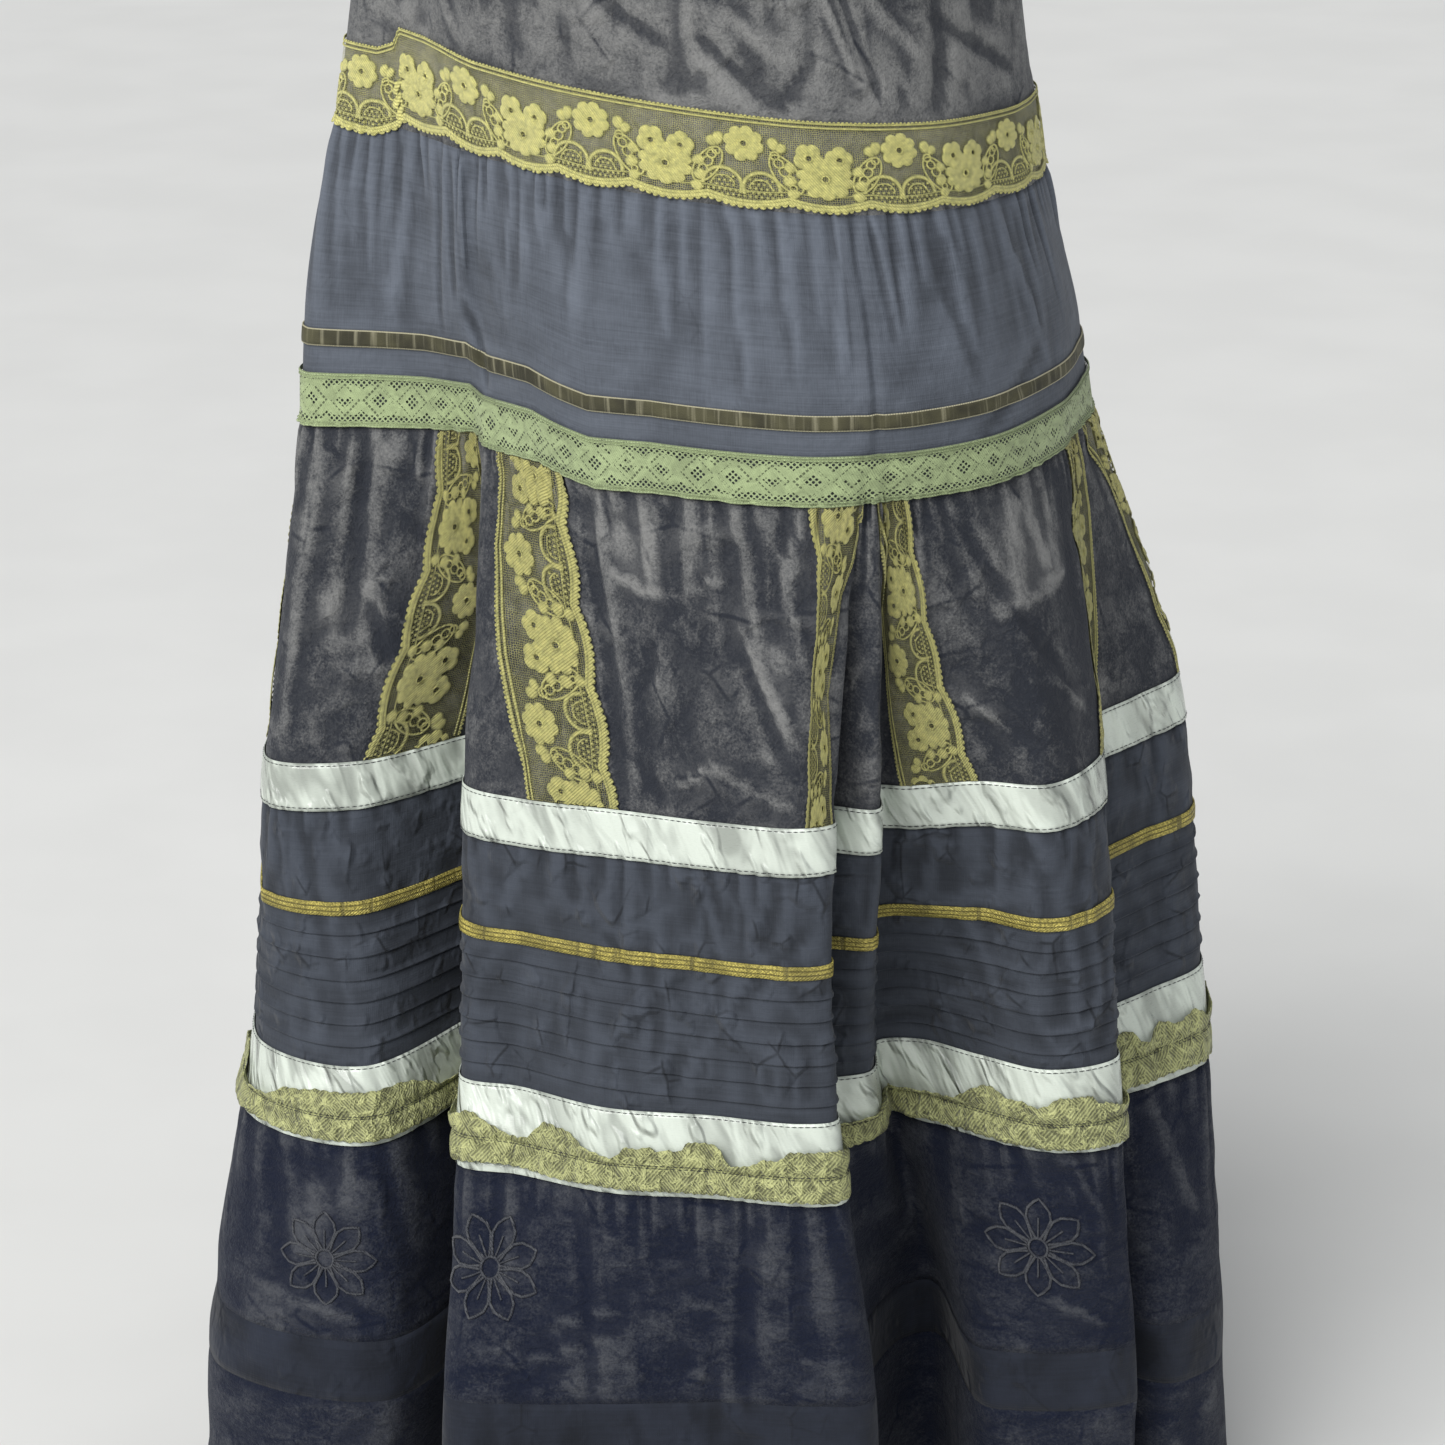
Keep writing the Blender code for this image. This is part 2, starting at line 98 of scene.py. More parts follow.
# One row for each crest, edge or valley, from the left side over the front and round the back
FOLDS = [Fold(*values) for values in (
    ("left side", 4, -205, -7, -229, 28, -237, 48, -256, 108),
    ("left crease", 4, -144, 24, -181, 42, -178, 92, -167, 146),
    ("left valley", 3, -115, 48, -111, 10, -110, 20, -106, 40),
    ("front left edge", 2, -108, 56, -122, 88, -125, 114, -130, 206),
    ("front left strip", 4, -101, 64, -90, 117, -94, 132, -98, 214),
    ("front left face", 4, -68, 101, -42, 142, -48, 166, -45, 214),
    ("front middle", 4, -8, 138, 5, 168, 5, 184, 5, 212),
    ("front right strip", 3, 50, 158, 50, 187, 50, 202, 60, 216),
    ("front right edge", 2, 74, 158, 66, 183, 68, 201, 86, 212),
    ("right inner valley", 2, 80, 157, 61, 157, 61, 152, 86, 132),
    ("ledge edge", 2, 85, 155, 88, 168, 87, 144, 106, 84),
    ("ledge valley", 2, 89, 154, 90, 134, 92, 106, 124, 76),
    ("right strip", 4, 94, 153, 103, 138, 114, 108, 144, 150),
    ("right face", 4, 106, 149, 140, 139, 145, 134, 165, 158),
    ("right crest", 3, 142, 126, 176, 151, 180, 159, 206, 158),
    ("right edge", 2, 178, 70, 204, 112, 213, 150, 228, 148),
    ("side valley", 3, 185, 50, 202, 62, 208, 96, 217, 118),
    ("side strip", 4, 191, 28, 228, 32, 236, 68, 246, 128),
    ("right side", 3, 197, -10, 254, -2, 268, 36, 279, 96),
    ("right back edge", 2, 176, -72, 224, -74, 238, -64, 250, -56),
    ("right back valley", 2, 163, -87, 180, -88, 184, -86, 190, -86),
    ("back right edge", 4, 148, -99, 178, -126, 192, -142, 206, -160),
    ("back right crest", 4, 90, -121, 110, -156, 118, -178, 126, -206),
    ("back middle right edge", 2, 12, -131, 24, -160, 28, -182, 32, -212),
    ("back middle valley", 2, -14, -130, -10, -126, -10, -126, -10, -130),
    ("back middle left edge", 4, -40, -127, -46, -158, -52, -182, -58, -212),
    ("back left crest", 4, -104, -111, -128, -144, -138, -166, -150, -192),
    ("left back edge", 2, -158, -82, -190, -108, -204, -120, -220, -136),
    ("left back valley", 2, -172, -66, -188, -70, -192, -70, -196, -70),
    ("left side edge", 3, -184, -50, -220, -52, -234, -44, -248, -36),
)]
COLUMNS = sum(fold.columns for fold in FOLDS)
LAST_FRONT_COLUMN = 65

# Waist ellipse, and how the yoke seam is drawn in from the hip section
WAIST_HALF = np.array([152.0, 112.0])
WAIST_CENTRE = np.array([-6.0, 4.0])
YOKE_SHARE = np.array([0.86, 0.84])
YOKE_HALF = YOKE_SHARE * (205.0, 145.0)
YOKE_ELLIPSE_SHARE = 0.45
HIP_PUFF = 0.03
PUFF_END = -367.0
HEM_SHARE = 1.03

Strip = namedtuple("Strip", "name scallops_first shift first last")
# Lace strips of the thigh tier: which edge is scalloped, how far the pattern is shifted along,
# and the columns of both edges at four heights
STRIP_HEIGHTS = [-365.0, -410.0, -460.0, -528.0]
STRIPS = [Strip(*values) for values in (
    ("left_a", True, -146, (5.2, 5.2, 4.8, 4.1), (8.6, 8.2, 7.6, 6.6)),
    ("left_b", False, -118, (12.6, 12.0, 12.3, 13.2), (16.8, 16.9, 16.9, 17.1)),
    ("middle_a", True, -112, (25.2, 25.8, 25.5, 25.3), (30.0, 27.4, 26.7, 27.6)),
    ("middle_b", False, -160, (32.0, 33.2, 34.6, 35.8), (37.9, 38.4, 38.9, 40.1)),
    ("right_a", True, -134, (47.3, 48.1, 47.8, 46.5), (50.6, 50.8, 50.4, 49.6)),
    ("right_b", False, -118, (52.0, 54.0, 55.0, 55.6), (56.0, 57.6, 58.6, 59.4)),
    ("back_right_a", True, -150, (58.2, 58.3, 58.1, 58.0), (60.8, 60.9, 60.9, 61.0)),
    ("back_right_b", False, -122, (64.2, 64.0, 63.9, 64.1), (67.1, 67.2, 67.1, 66.9)),
    ("back_middle_a", True, -104, (69.1, 69.0, 68.8, 69.0), (72.0, 72.1, 72.0, 71.9)),
    ("back_middle_b", False, -140, (73.0, 73.1, 73.0, 72.9), (76.1, 76.2, 76.0, 76.0)),
    ("back_left_a", True, -156, (79.1, 79.0, 79.1, 78.9), (82.1, 82.0, 82.0, 82.1)),
    ("back_left_b", False, -130, (86.2, 86.0, 85.9, 86.1), (89.0, 89.2, 89.1, 88.9)),
)]

# How the ribbon and the green lace dip and rise from the left side over the front: column and rise
HIP_WAVES = [
    (-8.0, 0.0), (-2.0, -4.0), (0.5, -4.8), (2.5, -1.0), (4.5, 2.0), (8.0, 5.0), (11.0, 1.0),
    (13.0, 1.0), (15.5, 2.6), (18.1, -4.0), (20.0, -1.2), (24.0, -0.6), (30.0, 0.0), (60.0, 0.0),
]
HIP_WAVE_RISE = (-250.0, -310.0)
HIP_WAVE_FALL = (-370.0, -450.0)

# How finely the ring tables and the slopes of the cloth are read
RING_STEPS = 24
COLUMN_STEP = 0.12
HEIGHT_STEP = 2.0
# Room for a crease, as a share of the distance between two of the solids' columns
CREASE_ROOM = 0.24
CREASE_MOST = 3.6


def listed_points(level):
    """Side and fore of every fold at a level that the table lists."""
    names = (level + "_side", level + "_fore")
    return np.array([[getattr(fold, name) for name in names] for fold in FOLDS], float)


def fold_points(level):
    """Side and fore of every fold at one level."""
    hip = listed_points("hip")
    turned = (hip - WAIST_CENTRE) / WAIST_HALF
    ellipse = turned / np.linalg.norm(turned, axis=1)[:, None]
    if level == "waist":
        return ellipse * WAIST_HALF + WAIST_CENTRE
    if level == "yoke":
        round_part = ellipse * YOKE_HALF + WAIST_CENTRE
        return hip * YOKE_SHARE * (1 - YOKE_ELLIPSE_SHARE) + round_part * YOKE_ELLIPSE_SHARE
    if level == "hem":
        return fold_points("calf") * HEM_SHARE
    return listed_points(level)


def curve_between(before, start, end, after, share):
    """Points on the centripetal curve from start to end, one for each share."""
    knots = [0.0]
    for one, other in ((before, start), (start, end), (end, after)):
        knots.append(knots[-1] + max(np.linalg.norm(other - one), 1.0) ** 0.5)
    place = knots[1] + share[:, None] * (knots[2] - knots[1])

    def mix(one, other, first, last):
        return (one * (knots[last] - place) + other * (place - knots[first])) / (knots[last] - knots[first])

    first_leg = mix(before, start, 0, 1)
    middle_leg = mix(start, end, 1, 2)
    last_leg = mix(end, after, 2, 3)
    return mix(mix(first_leg, middle_leg, 0, 2), mix(middle_leg, last_leg, 1, 3), 1, 2)


def ring_of(level):
    """One level's closed section, finely divided, its first point again at the end."""
    points = fold_points(level)
    rows = []
    for index, fold in enumerate(FOLDS):
        around = [points[(index + step) % len(points)] for step in (-1, 0, 1, 2)]
        count = fold.columns * RING_STEPS
        rows.append(curve_between(*around, np.arange(count) / count))
    ring = np.concatenate(rows)
    return np.concatenate([ring, ring[:1]])


RINGS = np.array([ring_of(level.name) for level in LEVELS])
LEVEL_HEIGHTS = np.array([level.height for level in LEVELS])
LEVEL_ROLLS = np.array([level.roll for level in LEVELS])
LEVEL_SMILES = np.array([level.smile for level in LEVELS])


def smooth(share):
    """0 to 1 with soft ends."""
    share = np.clip(share, 0.0, 1.0)
    return share * share * (3 - 2 * share)


def read_table(rows, place):
    """Value at a place in a table of places and values."""
    return np.interp(place, *zip(*rows))


def steps_of(points):
    """Distances between neighbouring points."""
    return np.linalg.norm(np.diff(points, axis=0), axis=1)


def from_left(column):
    """Columns counted from the left side, those behind it as negative."""
    column = np.mod(column, COLUMNS)
    return np.where(column > LAST_FRONT_COLUMN, column - COLUMNS, column)


def hip_wave(column, height):
    """Rise of the hip seam, its ribbon and its lace."""
    rise = read_table(HIP_WAVES, from_left(column))
    start = smooth((HIP_WAVE_RISE[0] - height) / (HIP_WAVE_RISE[0] - HIP_WAVE_RISE[1]))
    end = smooth((height - HIP_WAVE_FALL[1]) / (HIP_WAVE_FALL[0] - HIP_WAVE_FALL[1]))
    return rise * start * end


def plain_points(column, height):
    """Points of the cloth surface without creases, in millimetres."""
    column, height = np.broadcast_arrays(np.asarray(column, float), np.asarray(height, float))
    shape = column.shape
    column = column.ravel()
    height = height.ravel()
    place = (column % COLUMNS) * RING_STEPS
    first = np.minimum(place.astype(int), COLUMNS * RING_STEPS - 1)
    part = (place - first)[:, None]
    rings = RINGS[:, first] * (1 - part) + RINGS[:, first + 1] * part
    last = len(LEVELS) - 1
    upper = np.clip(np.searchsorted(-LEVEL_HEIGHTS, -height) - 1, 0, last - 1)
    each = np.arange(len(column))

    def slope(level):
        above = np.maximum(level - 1, 0)
        below = np.minimum(level + 1, last)
        rise = (LEVEL_HEIGHTS[below] - LEVEL_HEIGHTS[above])[:, None]
        return (rings[below, each] - rings[above, each]) / rise

    span = (LEVEL_HEIGHTS[upper + 1] - LEVEL_HEIGHTS[upper])[:, None]
    share = (height - LEVEL_HEIGHTS[upper])[:, None] / span
    flat = (
        rings[upper, each] * (1 + 2 * share) * (1 - share) ** 2
        + slope(upper) * span * share * (1 - share) ** 2
        + rings[upper + 1, each] * share**2 * (3 - 2 * share)
        + slope(upper + 1) * span * share**2 * (share - 1)
    )
    puff = np.clip((height - YOKE_SEAM) / (PUFF_END - YOKE_SEAM), 0, 1)
    flat = flat * (1 + HIP_PUFF * np.sin(np.pi * puff))[:, None]
    roll = np.interp(-height, -LEVEL_HEIGHTS, LEVEL_ROLLS)
    smile = np.interp(-height, -LEVEL_HEIGHTS, LEVEL_SMILES)
    rise = roll * flat[:, 0] + smile * (flat[:, 0] / SMILE_REACH) ** 2 + hip_wave(column, height)
    points = np.column_stack([flat[:, 0], -flat[:, 1], height + rise])
    return points.reshape(*shape, 3)


def unit(vectors):
    """The same directions, each one long."""
    return vectors / np.maximum(np.linalg.norm(vectors, axis=-1), 1e-9)[..., None]


def directions(column, height):
    """Along, up and outward directions of the cloth."""
    along = plain_points(column + COLUMN_STEP, height) - plain_points(column - COLUMN_STEP, height)
    up = plain_points(column, height + HEIGHT_STEP) - plain_points(column, height - HEIGHT_STEP)
    outward = unit(np.cross(along, up))
    return unit(along), unit(up), outward


def girths_at(height):
    """Distance round the cloth at one height, at each point of the ring tables."""
    columns = np.arange(COLUMNS * RING_STEPS + 1) / RING_STEPS
    points = plain_points(np.minimum(columns, COLUMNS - 1e-6), height)
    return columns, np.concatenate([[0.0], np.cumsum(steps_of(points))])


RING_COLUMNS, RING_GIRTHS = girths_at(THIGH_MIDDLE)
GIRTH = RING_GIRTHS[-1]
UPPER_GIRTHS = girths_at(YOKE_SEAM)[1]
# Heights between which places round the thigh tier give way to places round the hips
UPPER_START = -360.0
UPPER_END = -300.0


def girth_of(column):
    """Distance round the thigh tier from the left side to a column."""
    within = np.interp(np.mod(column, COLUMNS), RING_COLUMNS, RING_GIRTHS)
    return within + GIRTH * np.floor(column / COLUMNS)


def across_at(column, height):
    """Distance round, as on the thigh tier, but evenly spread over the hips above it."""
    upper = np.interp(np.mod(column, COLUMNS), RING_COLUMNS, UPPER_GIRTHS) * GIRTH / UPPER_GIRTHS[-1]
    share = smooth((height - UPPER_START) / (UPPER_END - UPPER_START))
    return girth_of(column) * (1 - share) + upper * share


def nearest_round(distance):
    """A distance round the thigh tier, taken the shorter way."""
    return np.mod(distance + GIRTH / 2, GIRTH) - GIRTH / 2


def column_at(share, height):
    """Column that lies a share of the way round at one height."""
    columns, girths = girths_at(height)
    return np.interp(np.mod(share, 1.0) * girths[-1], girths, columns)


# Creases and gathers

Crease = namedtuple("Crease", "column height to_column to_height width depth steepness", defaults=[1.0])
# A ridge, or a trough where the depth is negative, from one point to another.
# Width is half of it, and a steepness below 1 narrows one of its sides
CREASES = [Crease(*values) for values in (
    # Yoke
    (21.5, -142, 24.5, -172, 3.2, -2.4),
    (24.6, -172, 27.5, -146, 3.0, -2.2),
    (22.5, -128, 25.0, -150, 4.0, 1.6, 0.6),
    (29.0, -118, 37.0, -158, 3.6, 1.8, 0.4),
    (33.0, -112, 40.5, -170, 3.0, -2.0),
    (18.0, -126, 20.5, -150, 4.5, -1.6),
    (16.0, -112, 18.5, -122, 4.5, -1.8),
    (40.0, -120, 44.0, -152, 4.0, 1.8, 0.5),
    (13.5, -108, 16.0, -132, 5.0, 1.4, 0.7),
    (44.0, -128, 48.0, -160, 4.0, -1.8),
    (7.0, -120, 11.0, -168, 5.0, 1.6, 0.5),
    (22.0, -60, 27.0, -118, 5.0, -2.0),
    (31.0, -50, 26.0, -110, 5.0, 1.8, 0.6),
    (12.0, -40, 19.0, -96, 5.0, -1.8),
    (2.0, -60, 7.0, -130, 5.0, 1.8, 0.5),
    # Hip tier: puckers under the lace and over the ribbon
    (7.4, -228, 7.2, -300, 2.6, -2.0),
    (6.2, -226, 5.8, -318, 3.2, -1.6),
    (9.5, -226, 9.0, -282, 3.0, 1.5, 0.5),
    (4.0, -228, 3.2, -316, 5.0, 1.8, 0.7),
    (17.0, -224, 17.4, -270, 3.0, -1.4),
    (20.2, -224, 20.6, -288, 4.0, 1.6, 0.6),
    (24.2, -225, 24.6, -262, 3.0, -1.5),
    (28.0, -226, 27.4, -300, 3.6, 1.8, 0.6),
    (36.0, -226, 38.0, -290, 3.4, -1.5),
    (42.0, -224, 43.6, -312, 4.0, -1.6),
    (45.6, -224, 46.6, -318, 4.0, 1.8, 0.6),
    (8.0, -300, 11.5, -338, 4.0, -1.6),
    (46.5, -300, 43.0, -338, 4.0, -1.5),
    # Velvet tier: pressed flaps and long pulls
    (20.4, -371, 19.9, -416, 2.6, -2.6),
    (17.9, -404, 19.9, -417, 3.0, 2.4, 0.35),
    (20.0, -416, 22.4, -402, 2.8, 1.8, 0.35),
    (17.6, -371, 17.5, -446, 3.0, -2.8),
    (17.5, -440, 17.2, -524, 4.0, -2.4),
    (19.4, -440, 18.6, -474, 2.8, -2.4),
    (22.6, -430, 25.0, -488, 3.2, 2.6, 0.35),
    (22.2, -428, 24.4, -500, 3.2, -2.4),
    (22.3, -384, 22.2, -452, 4.0, -1.8),
    (23.8, -371, 25.3, -450, 3.6, 2.6, 0.5),
    (24.4, -371, 25.2, -396, 2.4, -2.0),
    (19.8, -512, 21.4, -497, 3.0, 2.4, 0.4),
    (21.4, -500, 25.2, -520, 3.4, 2.0, 0.4),
    (18.0, -500, 19.2, -524, 3.0, -2.2),
    (2.6, -372, 2.9, -470, 5.0, -2.4),
    (3.8, -452, 5.2, -462, 3.0, 2.2, 0.4),
    (3.4, -450, 4.6, -482, 3.0, -2.0),
    (1.2, -380, 0.8, -520, 6.0, 2.2, 0.7),
    (41.6, -380, 43.4, -428, 3.0, -2.2),
    (42.6, -430, 43.6, -431, 3.4, 2.4, 0.35),
    (43.8, -428, 46.2, -424, 3.0, 2.2, 0.35),
    (43.8, -434, 45.2, -474, 3.0, -2.6),
    (44.6, -470, 46.2, -500, 3.0, 2.0, 0.5),
    (41.8, -486, 43.8, -512, 3.4, -2.0),
    (40.0, -478, 42.5, -500, 3.0, 2.0, 0.4),
    (44.8, -374, 45.4, -420, 3.0, 2.0, 0.6),
    (34.0, -400, 34.2, -500, 3.0, -1.6),
    (55.0, -400, 55.2, -520, 4.0, -1.6),
    # Pintuck tier: slack over the gold trim and pulls over the tucks
    (17.2, -556, 17.0, -588, 2.4, -1.8),
    (20.6, -558, 21.6, -600, 3.4, 1.4, 0.6),
    (24.0, -556, 23.0, -594, 3.0, -1.2),
    (13.0, -556, 12.4, -590, 3.6, 1.2, 0.6),
    (25.6, -580, 21.0, -640, 4.0, -1.2),
    (22.6, -606, 19.6, -676, 4.0, 1.2, 0.6),
    (16.6, -592, 17.8, -615, 3.0, -1.6),
    (19.6, -612, 16.4, -668, 4.0, -1.0),
    (42.6, -560, 44.0, -606, 3.4, -1.4),
    (39.0, -600, 42.0, -660, 4.0, 1.0, 0.7),
    (2.0, -560, 3.0, -640, 5.0, -1.4),
    # Bottom tier: slow waves and a few pressed folds
    (22.6, -729, 22.2, -830, 6.0, -3.2),
    (26.0, -728, 26.2, -828, 5.0, 2.4, 0.6),
    (24.8, -728, 24.4, -800, 4.0, -2.2),
    (16.0, -740, 16.2, -829, 4.0, -1.8),
    (14.5, -792, 17.5, -781, 3.4, 2.2, 0.35),
    (13.0, -812, 17.0, -796, 3.2, 2.2, 0.35),
    (24.5, -806, 28.0, -812, 3.2, 2.0, 0.4),
    (20.0, -776, 22.4, -786, 3.0, 1.6, 0.4),
    (41.5, -728, 42.0, -756, 4.0, -2.2),
    (44.4, -728, 45.8, -768, 4.0, 2.2, 0.5),
    (41.6, -800, 45.0, -818, 3.2, 2.2, 0.35),
    (52.0, -728, 54.6, -790, 5.0, 1.8, 0.5),
    (1.2, -728, 1.6, -800, 5.0, -2.2),
    (1.0, -806, 3.6, -818, 3.4, 2.2, 0.35),
    (2.2, -790, 4.0, -826, 3.4, -2.0),
)]

# Each crease fades towards its ends: over which share of its length, and how far it is up at the very end
START_FADE = 0.22
START_LEVEL = 0.4
END_FADE = 0.3
END_LEVEL = 0.2

Gathers = namedtuple("Gathers", "top length_from length_to spacing width depth seed")
# Loose small folds that start at a seam, all round
GATHERS = [Gathers(*values) for values in (
    (YOKE_SEAM, 30, 120, 13.0, 4.4, 3.2, 11),
    (HIP_SEAM, 14, 110, 8.5, 3.8, 3.4, 12),
    (UPPER_SATIN_SEAM, 10, 70, 12.0, 3.8, 2.2, 13),
    (LOWER_SATIN_SEAM, 20, 100, 11.0, 4.0, 2.2, 14),
)]
GATHER_REACH_UP = 6.0
GATHER_SIGHT = 4.0
GROOVE_WIDTH = 0.55
RIDGE_PLACE = 1.2
RIDGE_SHARE = 0.8
# How unevenly the gathers fall: most are short and shallow
SHORTNESS = 1.8
LEAST_DEPTH = 0.3
DEPTH_SPREAD = 1.1
WIDTH_SPREAD = 0.3
GATHER_LEAN = 0.16
SPACING_SPREAD = 0.5

Crumple = namedtuple("Crumple", "top bottom size depth sharp seed")
# Small dents of the crushed velvet and of the washed cotton; sharp is the share of crisp folds
CRUMPLES = [Crumple(*values) for values in (
    (WAISTBAND_BOTTOM, HIP_LACE_TOP, 26.0, 2.6, 0.3, 21),
    (YOKE_SEAM, VELVET_RIBBON_TOP, 34.0, 1.2, 0.2, 22),
    (HIP_SEAM, UPPER_SATIN_TOP, 28.0, 2.6, 0.35, 23),
    (UPPER_SATIN_SEAM, LOWER_SATIN_TOP, 22.0, 2.1, 0.85, 24),
    (LOWER_SATIN_SEAM, HEM, 26.0, 2.6, 0.35, 25),
)]
CRUMPLE_FADE = 14.0
CRUMPLE_TALL = 1.4
# How far the dents are bent, their finer part, and how much of each goes into swells and folds
BEND_SIZE = 1.9
BEND_REACH = 1.4
FINE_SIZE = 0.55
SWELL_COARSE = 0.8
SWELL_FINE = 0.35
FOLD_LEVEL = 0.75
FOLD_COARSE = 1.1
FOLD_FINE = 0.5
LATTICE_ROWS = 64

COLUMN_GIRTHS = np.interp(np.arange(COLUMNS + 1), RING_COLUMNS, RING_GIRTHS)
COLUMN_SPACINGS = np.diff(COLUMN_GIRTHS)


def room_for_creases(column):
    """Most that a crease may rise at a column, least where folds are tight."""
    centres = np.arange(-1, COLUMNS + 1) + 0.5
    spacings = np.concatenate([COLUMN_SPACINGS[-1:], COLUMN_SPACINGS, COLUMN_SPACINGS[:1]])
    return np.minimum(np.interp(np.mod(column, COLUMNS), centres, spacings) * CREASE_ROOM, CREASE_MOST)


def lattice_noise(across, down, size, seed):
    """Smooth noise from 0 to 1 that closes round the skirt."""
    cells = max(int(round(GIRTH / size)), 1)
    values = np.random.default_rng(seed).random((LATTICE_ROWS, cells))
    x = across / GIRTH * cells
    y = down / (size * CRUMPLE_TALL)
    x0 = np.floor(x).astype(int)
    y0 = np.floor(y).astype(int)
    sx = smooth(x - x0)
    sy = smooth(y - y0)

    def corner(dx, dy):
        return values[(y0 + dy) % LATTICE_ROWS, (x0 + dx) % cells]

    upper = corner(0, 0) * (1 - sx) + corner(1, 0) * sx
    lower = corner(0, 1) * (1 - sx) + corner(1, 1) * sx
    return upper * (1 - sy) + lower * sy


def crumple_at(across, down, crumple):
    """Noise about 0: soft swells, and crisp ridges for the sharp share."""
    size = crumple.size
    bend = lattice_noise(across, down, size * BEND_SIZE, crumple.seed + 100) * size * BEND_REACH
    coarse = 2 * lattice_noise(across + bend, down + bend, size, crumple.seed) - 1
    fine = 2 * lattice_noise(across - bend, down + bend, size * FINE_SIZE, crumple.seed + 50) - 1
    soft = coarse * SWELL_COARSE + fine * SWELL_FINE
    folded = FOLD_LEVEL - np.abs(coarse) * FOLD_COARSE - np.abs(fine) * FOLD_FINE
    return soft + (folded - soft) * crumple.sharp


def crease_lift(across, height, crease):
    """Rise of the cloth from one placed crease."""
    start = np.array([across_at(crease.column, crease.height), crease.height])
    end = np.array([across_at(crease.to_column, crease.to_height), crease.to_height])
    along = end - start
    length = np.linalg.norm(along)
    along = along / length
    gap = nearest_round(across - start[0])
    drop = height - start[1]
    share = (gap * along[0] + drop * along[1]) / length
    off = gap * along[1] - drop * along[0]
    width = np.where(off > 0, crease.width, crease.width * crease.steepness)
    ends = smooth(share / START_FADE + START_LEVEL) * smooth((1 - share) / END_FADE + END_LEVEL)
    return crease.depth * np.exp(-((off / width) ** 2)) * ends


def gather_lift(across, height, gathers):
    """Rise of the cloth from one seam's gathers: sharp grooves between soft ridges."""
    random = np.random.default_rng(gathers.seed)
    total = np.zeros_like(across)
    place = 0.0
    down = gathers.top - height
    while place < GIRTH:
        spread = gathers.length_to - gathers.length_from
        length = gathers.length_from + spread * random.random() ** SHORTNESS
        depth = gathers.depth * (LEAST_DEPTH + DEPTH_SPREAD * random.random() ** 2)
        width = gathers.width * random.uniform(1 - WIDTH_SPREAD, 1 + WIDTH_SPREAD)
        lean = random.uniform(-GATHER_LEAN, GATHER_LEAN)
        gap = nearest_round(across - place - lean * down)
        near = (np.abs(gap) < width * GATHER_SIGHT) & (down > -GATHER_REACH_UP) & (down < length)
        start = smooth((down[near] + GATHER_REACH_UP) / (2 * GATHER_REACH_UP))
        fade = start * (1 - smooth(down[near] / length))
        gap = gap[near]
        groove = np.exp(-((gap / (width * GROOVE_WIDTH)) ** 2))
        ridge = np.exp(-(((gap - width * RIDGE_PLACE) / width) ** 2))
        total[near] += depth * (ridge * RIDGE_SHARE - groove) * fade
        place += gathers.spacing * random.uniform(1 - SPACING_SPREAD, 1 + SPACING_SPREAD)
    return total


def lift(column, height, crumpled=1.0):
    """How far the creases, and a share of the crumples, raise the cloth, in millimetres."""
    column, height = np.broadcast_arrays(np.asarray(column, float), np.asarray(height, float))
    across = across_at(column, height)
    total = np.zeros(column.shape)
    for crease in CREASES:
        total += crease_lift(across, height, crease)
    for gathers in GATHERS:
        total += gather_lift(across, height, gathers)
    for crumple in CRUMPLES:
        below_top = smooth((crumple.top - height) / CRUMPLE_FADE)
        above_bottom = smooth((height - crumple.bottom) / CRUMPLE_FADE)
        inside = below_top * above_bottom
        total += crumple_at(across, -height, crumple) * crumple.depth * inside * crumpled
    room = room_for_creases(column)
    return room * np.tanh(total * sizes().crease_depth / room)


def place(column, height, out=0.0):
    """Points on the creased cloth, moved out by a distance, in millimetres."""
    outward = directions(column, height)[2]
    rise = lift(column, height) + out
    return plain_points(column, height) + outward * rise[..., None]


# Mesh helpers

TURN_WEIGHT = 6.0


def spread_columns(count, first=0.0, last=float(COLUMNS)):
    """Columns from first to last, evenly spaced but closer where the cloth turns."""
    columns = np.linspace(first, last, int((last - first) * RING_STEPS) + 1)
    points = plain_points(columns, THIGH_MIDDLE)[:, :2]
    lower = plain_points(columns, LOWER_SATIN_TOP)[:, :2]
    steps = steps_of(points) + steps_of(lower)
    heading = np.unwrap(np.arctan2(*np.diff(lower, axis=0).T[::-1]))
    turn = np.abs(np.diff(heading, prepend=heading[:1]))
    weight = np.concatenate([[0.0], np.cumsum(steps + TURN_WEIGHT * turn)])
    return np.interp(np.linspace(0, weight[-1], count + 1), weight, columns)


def placed(name, data):
    """A new object in the scene."""
    item = bpy.data.objects.new(name, data)
    bpy.context.collection.objects.link(item)
    return item


def bare_mesh(name, points, edges, faces):
    """A mesh object without a finish, from points in millimetres."""
    mesh = bpy.data.meshes.new(name)
    mesh.from_pydata((np.asarray(points) * MM).tolist(), edges, faces)
    return placed(name, mesh)


def discard(item):
    """Remove an object and its mesh."""
    mesh = item.data
    bpy.data.objects.remove(item)
    bpy.data.meshes.remove(mesh)


def dress(item, finish):
    """Give a piece its finish and smooth faces."""
    item.data.materials.clear()
    item.data.materials.append(finish_named(finish))
    item.data.shade_smooth()
    return item


def mesh_piece(name, points, faces, uvs, finish):
    """A piece from points in millimetres, faces and a UV place for each point of each face."""
    item = bare_mesh(name, points, [], faces.tolist())
    layer = item.data.uv_layers.new(name="cloth")
    layer.data.foreach_set("uv", np.asarray(uvs, float).ravel() * MM)
    item.data.update()
    return dress(item, finish)


